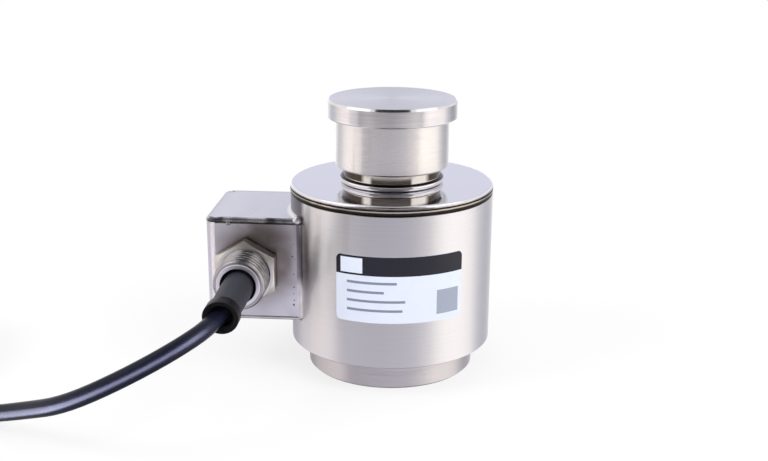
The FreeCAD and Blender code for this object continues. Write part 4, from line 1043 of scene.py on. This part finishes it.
def makeTurnedStainless(name, zones, shadedFlanks=False):
    # stainless bar, turned on a lathe: fine rings that smear each light into an upright band;
    # a zone is the height that it starts from, how rough it is and the tones of its metal
    material, tree, shader = newMaterial(name, finish["steel"], 0.2, 1.0, {
        "Anisotropic": 0.85, "Anisotropic Rotation": 0.25})
    place, x, z = ringCoordinates(tree, *finish["toolMark"])
    marks = addNode(tree, "TexNoise", {"Vector": place, "Scale": 1.0, "Detail": 4.0, "Roughness": 0.6})
    smoother, rougher = finish["turnedSpread"]
    tone, rough = None, None
    for start, dull, shade, light in zones:
        metal, grain = mottled(tree, marks, shade, light, smoother * dull, rougher * dull, noiseSpan)
        if tone:
            above = addNode(tree, "Math", {0: z, 1: start * mm}, operation="GREATER_THAN")
            metal = addNode(tree, "Mix", {"Factor": above, "A": tone, "B": metal}, data_type="RGBA")
            grain = addNode(tree, "Mix", {"Factor": above, "A": rough, "B": grain})
        tone, rough = metal, grain
    if shadedFlanks:                    # painted shade on both flanks of the neck, in the gap under the cap
        low, middle, half, soft = [size * mm for size in finish["neckShade"]]
        off = addNode(tree, "Math", {0: x, 1: middle}, operation="SUBTRACT")
        away = addNode(tree, "Math", {0: off}, operation="ABSOLUTE")
        flank = addNode(tree, "MapRange", {"Value": away, "From Min": half - soft, "From Max": half + soft})
        high = addNode(tree, "Math", {0: z, 1: low}, operation="GREATER_THAN")
        flankShade = addNode(tree, "Math", {0: flank, 1: high}, operation="MULTIPLY")
        tone = addNode(tree, "Mix", {"Factor": flankShade, "A": tone, "B": "#453D37"}, data_type="RGBA")
    bump = addNode(tree, "Bump", {"Height": marks, "Strength": 0.06, "Distance": finish["shallow"] * mm})
    tangent = addNode(tree, "Tangent", direction_type="RADIAL", axis="Z")
    feed(tree, shader, {"Base Color": tone, "Roughness": rough, "Normal": bump, "Tangent": tangent})
    return material


def makeBrushedTube():
    # stainless tube, belt brushed round its axis: soft upright bands with faint level streaks
    material, tree, shader = newMaterial("brushedStainlessTube", finish["steel"], 0.34, 1.0, {
        "Anisotropic": 0.96, "Anisotropic Rotation": 0.25})
    place, x, z = ringCoordinates(tree, *finish["brushStreak"])
    streaks = addNode(tree, "TexNoise", {"Vector": place, "Scale": 1.0, "Detail": 5.0, "Roughness": 0.65})
    tone, rough = mottled(tree, streaks, "#D8D5D8", "#E6E4E6", 0.32, 0.36, noiseSpan)
    low, begin, full = [level * mm for level in finish["roofShade"]]
    over = addNode(tree, "Math", {0: z, 1: low}, operation="GREATER_THAN")
    beside = addNode(tree, "MapRange", {"Value": x, "From Min": begin, "From Max": full})
    roof = addNode(tree, "Math", {0: over, 1: beside}, operation="MULTIPLY")
    begin, full = [level * mm for level in finish["tubeTop"]]
    hot = addNode(tree, "MapRange", {"Value": z, "From Min": begin, "From Max": full})
    # painted shade over the box's roof, and heat tint under the lid's seam
    for colour, share in (("#69686F", roof), ("#332E2C", hot)):
        tone = addNode(tree, "Mix", {"Factor": share, "A": tone, "B": colour}, data_type="RGBA")
    bump = addNode(tree, "Bump", {"Height": streaks, "Strength": 0.02, "Distance": finish["shallow"] * mm})
    tangent = addNode(tree, "Tangent", direction_type="RADIAL", axis="Z")
    feed(tree, shader, {"Base Color": tone, "Roughness": rough, "Normal": bump, "Tangent": tangent})
    return material


def makePolishedStainless():
    # stainless lid, buffed bright: a mirror with faint swirls, scale and bare metal on its welded rim, and
    # painted shade in its groove
    material, tree, shader = newMaterial("polishedStainless", "#DEDDE2", 0.07, 1.0)
    place, _, z = ringCoordinates(tree, *finish["swirl"])
    swirl = addNode(tree, "TexNoise", {"Vector": place, "Scale": 1.0, "Detail": 3.0, "Roughness": 0.6})
    around, _, _ = ringCoordinates(tree, *finish["rimSwirl"])
    wave = addNode(tree, "TexNoise", {"Vector": around, "Scale": 1.0, "Detail": 3.0})
    wavy = addNode(tree, "Math", {0: wave, 1: 2 * finish["rimWave"] * mm, 2: z}, operation="MULTIPLY_ADD")
    low, high = finish["rim"][0][0], finish["rim"][-1][0]
    begin, full = [(level + finish["rimWave"]) * mm for level in (low, high)]
    along = addNode(tree, "MapRange", {"Value": wavy, "From Min": begin, "From Max": full})
    tone = addNode(tree, "ValToRGB", {0: along})
    stops = tone.color_ramp.elements
    stops[1].color = hexColour(finish["rim"][-1][1])
    for level, code in finish["rim"][:-1]:
        spot = (level - low) / (high - low)
        stop = stops[0] if spot == 0 else stops.new(spot)
        stop.color = hexColour(code)
    fine = addNode(tree, "MapRange", {
        "Value": swirl, "From Min": 0.35, "From Max": 0.7, "To Min": 0.05, "To Max": 0.11})
    rough = addNode(tree, "Mix", {"Factor": along, "A": 0.22, "B": fine})
    bump = addNode(tree, "Bump", {"Height": swirl, "Strength": 0.02, "Distance": finish["shallow"] * mm})
    feed(tree, shader, {"Base Color": tone, "Roughness": rough, "Normal": bump})
    return material


def makeWeldMetal(name, scaleAndDarkReflection, bare, dull):
    # frozen weld metal: smooth and shiny, bare in some stretches and dark in others, with scale and a painted
    # dark reflection;
    # only the front bead was left as welded, the rest is dressed bright
    material, tree, shader = newMaterial(name, bare, dull, 1.0)
    place, x, y, z = objectPlace(tree)
    stretch = addNode(tree, "TexNoise", {
        "Vector": place, "Scale": cells(finish["weldStretch"]), "Detail": 1.0})
    begin, full = [depth * mm for depth in finish["dressedFrom"]]
    dressed = addNode(tree, "MapRange", {"Value": y, "From Min": begin, "From Max": full})
    begin, full = finish["weldBare"]
    clean = addNode(tree, "MapRange", {"Value": stretch, "From Min": begin, "From Max": full})
    bright = addNode(tree, "Math", {0: dressed, 1: clean}, operation="MAXIMUM")
    tone = addNode(tree, "Mix", {"Factor": bright, "A": scaleAndDarkReflection, "B": bare}, data_type="RGBA")
    # painted dark reflection of the gland along the front seam
    mirroredGland = seamGlandReflection(tree, x, y, z)
    tone = addNode(tree, "Mix", {"Factor": mirroredGland, "A": tone, "B": "#8A868C"}, data_type="RGBA")
    rough = addNode(tree, "MapRange", {"Value": dressed, "To Min": dull, "To Max": 0.36})
    feed(tree, shader, {"Base Color": tone, "Roughness": rough})
    return material


def makeSatinSheet(name, shade, light):
    # folded stainless sheet, scuffed with a pad: soft even shine, brown heat tint round the gland with
    # painted shade in it
    material, tree, shader = newMaterial(name, light, 0.34, 1.0)
    place, x, y, z = objectPlace(tree)
    grain = addNode(tree, "TexNoise", {"Vector": place, "Scale": cells(finish["sheetGrain"]), "Detail": 4.0})
    smear = addNode(tree, "TexNoise", {
        "Vector": place, "Scale": cells(finish["smear"]), "Detail": 3.0, "Distortion": 0.6})
    tone, rough = mottled(tree, smear, shade, light, 0.27, 0.40, noiseSpan)
    begin, full = [(depth - welds["boxHalf"]) * mm for depth in finish["frontDarker"]]
    front = addNode(tree, "MapRange", {"Value": y, "From Min": begin, "From Max": full},
                    interpolation_type="SMOOTHSTEP")
    begin, full = [reach * mm for reach in finish["nutTintShadeReach"]]
    halo = addNode(tree, "MapRange", {
        "Value": glandDistance(tree, place, finish["nutTintShadeShift"]), "From Min": begin, "From Max": full,
        "To Max": finish["nutTintShadeStrength"]}, interpolation_type="SMOOTHSTEP")
    smeared, even = finish["nutTintShadeSmear"]
    uneven = addNode(tree, "Math", {0: smear, 1: smeared, 2: even}, operation="MULTIPLY_ADD")
    heatedAndShaded = addNode(tree, "Math", {0: halo, 1: uneven}, operation="MULTIPLY")
    tintAndShade = addNode(tree, "Math", {0: heatedAndShaded, 1: front}, operation="MULTIPLY")
    # the front face is toned darker, and the heat tint with painted shade round the nut and the painted
    # reflection of the gland along the seam lie over that
    for colour, share in (("#C8C5CA", front), ("#675B54", tintAndShade), ("#A8A2A8", seamGlandReflection(tree, x, y, z))):
        tone = addNode(tree, "Mix", {"Factor": share, "A": tone, "B": colour}, data_type="RGBA")
    # the sheet bows a little before its fold
    begin, full = [(welds["boxEnd"] + reach) * mm for reach in (-finish["bowLead"], finish["bowReach"])]
    bow = addNode(tree, "MapRange", {"Value": x, "From Min": begin, "From Max": full},
                  interpolation_type="SMOOTHSTEP")
    bowed = addNode(tree, "Bump", {"Height": bow, "Strength": 1.0, "Distance": finish["bowDepth"] * mm})
    bump = addNode(tree, "Bump", {
        "Height": grain, "Normal": bowed, "Strength": 0.06, "Distance": finish["grainDepth"] * mm})
    feed(tree, shader, {"Base Color": tone, "Roughness": rough, "Normal": bump})
    return material


def makeNickelBrass(name, dark, light, shiny, dull):
    # nickel-plated brass, turned: bright edges, with a warm cast where the plating is thin
    material, tree, shader = newMaterial(name, light, shiny, 1.0)
    # the patches are scaled to the piece's own box, so that they are a fine grain here
    patch = addNode(tree, "TexNoise", {
        "Scale": cells(finish["platingPatch"]), "Detail": 4.0, "Roughness": 0.6})
    tone, rough = mottled(tree, patch, dark, light, shiny, dull)
    feed(tree, shader, {"Base Color": tone, "Roughness": rough})
    return material


def makeRolledThread():
    # the sleeve's rolled thread: dull nickel on the crests, painted shade in the roots
    material, tree, shader = newMaterial("rolledNickelThread", "#A8A4A6", 0.28, 1.0)
    place, _, y, _ = objectPlace(tree)
    patch = addNode(tree, "TexNoise", {
        "Vector": place, "Scale": cells(finish["platingPatch"]), "Detail": 4.0, "Roughness": 0.6})
    rootShadeTop, crestFoot = [(sleeve["radius"] - share * sleeve["threadDepth"]) * mm
                         for share in finish["threadRootShade"]]
    crest = addNode(tree, "MapRange", {
        "Value": glandDistance(tree, place), "From Min": rootShadeTop, "From Max": crestFoot})
    endFace = (sleeve["wallFace"] - sleeve["reach"] + sleeve["endChamfer"]) * mm
    end = addNode(tree, "Math", {0: y, 1: endFace}, operation="LESS_THAN")
    bare = addNode(tree, "Math", {0: crest, 1: end}, operation="MAXIMUM")
    nickel, rough = mottled(tree, patch, "#8E8A8C", "#BCB8BA", 0.22, 0.36)
    tone = addNode(tree, "Mix", {"Factor": bare, "A": "#3A3634", "B": nickel}, data_type="RGBA")
    feed(tree, shader, {"Base Color": tone, "Roughness": rough})
    return material


def makeBootRubber():
    # moulded rubber: dull and fine-grained on the shank, darker and smoother on the collar
    material, tree, shader = newMaterial("mouldedBootRubber", "#3B3B43", 0.5, 0.0, {
        "Specular IOR Level": 0.2})
    place, _, y, _ = objectPlace(tree)
    mottle = addNode(tree, "TexNoise", {
        "Vector": place, "Scale": cells(finish["rubberGrain"]), "Detail": 3.0})
    begin, full = [(sleeve["wallFace"] - boot["waist"][0] + reach) * mm for reach in finish["collarEdge"]]
    collar = addNode(tree, "MapRange", {"Value": y, "From Min": begin, "From Max": full})
    shank = addNode(tree, "Mix", {"Factor": mottle, "A": "#2E2E36", "B": "#3B3B44"}, data_type="RGBA")
    tone = addNode(tree, "Mix", {"Factor": collar, "A": shank, "B": "#0C0C10"}, data_type="RGBA")
    rough = addNode(tree, "Mix", {"Factor": collar, "A": 0.55, "B": 0.38})
    shine = addNode(tree, "Mix", {"Factor": collar, "A": 0.2, "B": 0.1})
    bump = addNode(tree, "Bump", {"Height": mottle, "Strength": 0.25, "Distance": 0.02 * mm})
    feed(tree, shader, {"Base Color": tone, "Roughness": rough, "Normal": bump, "Specular IOR Level": shine})
    return material


def makeJacket():
    # extruded PVC jacket: smooth, with a long soft gleam; the wound turns are dull with dust from the drum
    material, tree, shader = newMaterial("extrudedPvc", "#141728", 0.30, 0.0, {"Specular IOR Level": 0.13})
    place, x, _, _ = objectPlace(tree)
    mottle = addNode(tree, "TexNoise", {
        "Vector": place, "Scale": cells(finish["jacketGrain"]), "Detail": 3.0})
    tone, fresh = mottled(tree, mottle, "#0C0E1A", "#141728", 0.24, 0.36)
    begin, full = [reach * mm for reach in cable["woundFrom"]]
    wound = addNode(tree, "MapRange", {"Value": x, "From Min": begin, "From Max": full})
    rough = addNode(tree, "Mix", {"Factor": wound, "A": fresh, "B": 0.58})
    bump = addNode(tree, "Bump", {"Height": mottle, "Strength": 0.25, "Distance": finish["jacketDepth"] * mm})
    feed(tree, shader, {"Base Color": tone, "Roughness": rough, "Normal": bump})
    return material


def makeSpeckled(name, dark, light, roughness, grain, depth, metallic=0.0):
    # two near tones in a fine mottle with a matching bump (grain and depth in mm)
    material, tree, shader = newMaterial(name, light, roughness, metallic)
    place = addNode(tree, "TexCoord").outputs["Object"]
    mottle = addNode(tree, "TexNoise", {"Vector": place, "Scale": cells(grain), "Detail": 3.0})
    spread = finish["roughSpread"]
    tone, rough = mottled(tree, mottle, dark, light, roughness - spread, roughness + spread)
    bump = addNode(tree, "Bump", {"Height": mottle, "Strength": 0.25, "Distance": depth * mm})
    feed(tree, shader, {"Base Color": tone, "Roughness": rough, "Normal": bump})
    return material


# name label: a thin film bent round the tube
label = {
    "inside": 39.95,
    "radius": 40.1,
    "width": 50.6,
    "height": 26.0,
    "corner": 2.0,
    "columns": 96,
    "turn": 9.2,                   # degrees from -Y towards +X
    "middle": 42.7,                # a little lower than the solid's, as in the picture
    "fibre": 2.5,
    "film": "#DDE3F2",
    "filmShade": "#D6DCEC",
    "band": "#1C1C28",
    "bar": "#7F8698",
    "square": "#9AA1B1",
    # plain fields: colour, middle across, middle up, half width, half height, in mm
    "fields": [("band", 0.0, 9.25, 30.0, 3.75), ("film", -19.0, 9.2, 4.4, 2.95),
               ("bar", -11.2, 2.7, 9.6, 0.5), ("bar", -13.6, -0.9, 7.2, 0.5),
               ("bar", -9.6, -4.5, 11.2, 0.5), ("bar", -10.1, -8.1, 10.7, 0.5),
               ("square", 18.8, -5.6, 4.8, 4.8)],
}


def makeLabelFilm():
    half, corner, columns = label["width"] / 2, label["corner"], label["columns"]
    points, faces = [], []
    for index in range(columns + 1):
        # finer steps at both ends, where the corners turn
        across = -half * math.cos(math.pi * index / columns)
        past = max(0.0, abs(across) - half + corner)
        rise = label["height"] / 2 - corner + math.sqrt(corner ** 2 - past ** 2)
        angle = math.radians(label["turn"] - 90) + across / label["radius"]
        for radius in (label["inside"], label["radius"]):
            for level in (label["middle"] - rise, label["middle"] + rise):
                points.append(mm * Vector((radius * math.cos(angle), radius * math.sin(angle), level)))
    for index in range(columns):
        for here, beside in ((0, 1), (1, 3), (3, 2), (2, 0)):
            faces.append((4 * index + here, 4 * index + beside, 4 * index + 4 + beside, 4 * index + 4 + here))
    for first in (0, 4 * columns):
        faces.append((first, first + 1, first + 3, first + 2))
    return keepOn(meshPiece("labelFilm", points, faces, sharpAngle=40), "label_vinyl", "name_label")


labelFilm = makeLabelFilm()
print("label:", len(labelFilm.data.polygons), "faces")


def makePrintedVinyl():
    # printed vinyl film: flat fields of ink under a thin clear gloss
    material, tree, shader = newMaterial("printedVinyl", label["film"], 0.38, 0.0, {
        "Specular IOR Level": 0.25, "Coat Weight": 0.06, "Coat Roughness": 0.2})
    place, x, y, z = objectPlace(tree)
    toFront = addNode(tree, "Math", {0: y, 1: -1.0}, operation="MULTIPLY")
    angle = addNode(tree, "Math", {0: x, 1: toFront}, operation="ARCTAN2")
    offset = -label["radius"] * math.radians(label["turn"])
    across = addNode(tree, "Math", {0: angle, 1: label["radius"], 2: offset}, operation="MULTIPLY_ADD")
    up = addNode(tree, "Math", {0: z, 1: 1 / mm, 2: -label["middle"]}, operation="MULTIPLY_ADD")
    fibre = addNode(tree, "TexNoise", {"Vector": place, "Scale": cells(label["fibre"]), "Detail": 2.0})
    tone, rough = mottled(tree, fibre, label["filmShade"], label["film"], 0.32, 0.44)
    for name, middleX, middleY, halfX, halfY in label["fields"]:
        inside = []
        for source, middle, half in ((across, middleX, halfX), (up, middleY, halfY)):
            off = addNode(tree, "Math", {0: source, 1: middle}, operation="SUBTRACT")
            size = addNode(tree, "Math", {0: off}, operation="ABSOLUTE")
            inside.append(addNode(tree, "Math", {0: size, 1: half}, operation="LESS_THAN"))
        mask = addNode(tree, "Math", {0: inside[0], 1: inside[1]}, operation="MULTIPLY")
        tone = addNode(tree, "Mix", {"Factor": mask, "A": tone, "B": label[name]}, data_type="RGBA")
    feed(tree, shader, {"Base Color": tone, "Roughness": rough})
    return material


# plain finishes: dark and light tone, roughness, grain, depth and metallic, and the nodes that have them
plainFinishes = {
    "oxidisedWeldSeam": (("#181616", "#3A3432", 0.45, 2.0, 0.05, 1.0), ["lid_weld"]),   # dark, left as welded
    "mouldedRubber": (("#0D0D12", "#17171D", 0.48, finish["rubberGrain"], 0.02), [    # dull, fine
        "gland_seal", "cap_oring"]),
    "wireInsulation": (("#B8B2A4", "#CFCABD", 0.45, 0.6, 0.01), [     # smooth, cream
        "entry_cores", "bridge_ring_wire", "bridge_loom"]),
    "mouldedNylon": (("#17171A", "#212125", 0.38, 0.5, 0.02), []),     # black, half dull
    "tinnedCopper": (("#B7B4AE", "#D0CDC8", 0.28, 0.3, 0.01, 1.0), []),     # soft and bright
    "polyimideFoil": (("#A5722A", "#BF8A3C", 0.35, 0.5, 0.01), [      # amber film
        "strain_gauge_front", "strain_gauge_rear", "strain_gauge_left", "strain_gauge_right"]),
    "vulcanisedFibre": (("#2A2322", "#3C3230", 0.7, 0.4, 0.02), ["gland_washer"]),     # matt, dark brown
    "glassEpoxyBoard": (("#0C4A24", "#12602F", 0.4, 0.5, 0.01), ["bridge_board"]),     # satin green
    "turnedBrass": (("#B08A3C", "#C9A452", 0.25, 0.8, 0.01, 1.0), ["board_standoffs"]),     # bright yellow
    "zincPlatedSteel": (("#B9BCC0", "#D2D4D8", 0.3, 0.6, 0.01, 1.0), ["board_screws"]),     # bright and cool
    "lacqueredResistor": (("#3E6D92", "#4F82AA", 0.35, 0.6, 0.01), ["trim_resistors"]),     # glossy blue
    "shrunkPolyolefin": (("#131315", "#1D1D20", 0.48, 0.5, 0.02), ["lead_sleeve"]),     # dull black
    "redCoreInsulation": (("#A11818", "#B92420", 0.4, 0.6, 0.01), ["lead_red"]),     # smooth, a little glossy
    "blackCoreInsulation": (("#141416", "#1E1E21", 0.4, 0.6, 0.01), ["lead_black"]),     # the same
    "greenCoreInsulation": (("#17662F", "#1F7A3B", 0.4, 0.6, 0.01), ["lead_green"]),     # the same
    "whiteCoreInsulation": (("#DAD9D4", "#EBEAE6", 0.4, 0.6, 0.01), ["lead_white"]),     # the same
}
weldMetal = makeWeldMetal("weldedStainless", "#525055", "#CCCACD", 0.33)
dressedWeld = makeWeldMetal("dressedWeldStainless", "#D0CDD0", "#E4E2E5", 0.36)
nickelBrass = makeNickelBrass("nickelPlatedBrass", "#C2BBB2", "#E0DDDA", 0.26, 0.40)
# a darker copy of the sheet for the plates: painted shade on the box's roof
shadedSatinPlate = makeSatinSheet("satinStainlessPlateShaded", "#CAC8CD", "#DFDDE2")
extrudedPvc = makeJacket()
finishes = {
    "load_cap": makeTurnedStainless("turnedStainlessCap", [
        (0, 0.24, "#D3CFCE", "#E8E5E2"), (finish["flangeFrom"], 0.12, "#CFCCCE", "#E6E4E6"),
        (finish["topFrom"], 0.2, "#C6C3C6", "#D6D4D6")]),
    # the base spigot is toned darker as a painted reflection of the shaded floor
    "spring_element": makeTurnedStainless("turnedStainlessColumn", [
        (0, 0.34, "#BCB7B9", "#D2CECF"), (finish["baseTop"], 0.2, "#CAC7CA", "#E8E6E7"),
        (finish["neckFrom"], 0.10, "#C9C4BF", "#E0DBD6")], shadedFlanks=True),
    "housing_tube": makeBrushedTube(),
    "top_lid": makePolishedStainless(),
    # the bead's top, under the cap's skirt, is dark with painted shade
    "neck_weld": makeTurnedStainless("polishedNeckBead", [
        (0, 0.08, "#D6D4D8", "#E6E4E8"), (finish["beadShadeFrom"], 0.25, "#1C1918", "#2A2624")]),
    "box_wall": makeSatinSheet("satinStainlessSheet", "#D6D3D8", "#EAE8EC"),
    "box_top_plate": shadedSatinPlate,
    "box_bottom_plate": shadedSatinPlate,
    "gland_hex_nut": nickelBrass,
    "gland_lock_nut": nickelBrass,
    "gland_clamp_ring": makeNickelBrass("mattNickelBrass", "#DCD9DE", "#EEECF2", 0.34, 0.46),
    "cable_entry": extrudedPvc,
}
speckled = {}
for name, (settings, wearers) in plainFinishes.items():
    speckled[name] = makeSpeckled(name, *settings)
    for node in wearers:
        finishes[node] = speckled[name]
for name, material in finishes.items():
    nodes[name].data.materials.clear()
    nodes[name].data.materials.append(material)
made = {signalCable: extrudedPvc, nylonTies: speckled["mouldedNylon"], tinnedTips: speckled["tinnedCopper"],
        drainWire: speckled["tinnedCopper"], threadedSleeve: makeRolledThread(), rubberBoot: makeBootRubber(),
        seamPinholes: speckled["oxidisedWeldSeam"], labelFilm: makePrintedVinyl()}
for piece in weldPieces:
    made[piece] = weldMetal if piece.name == "topPlateBead" else dressedWeld
for piece, material in made.items():
    piece.data.materials.append(material)
print("finishes:", len(finishes), "nodes,", len(made), "pieces")
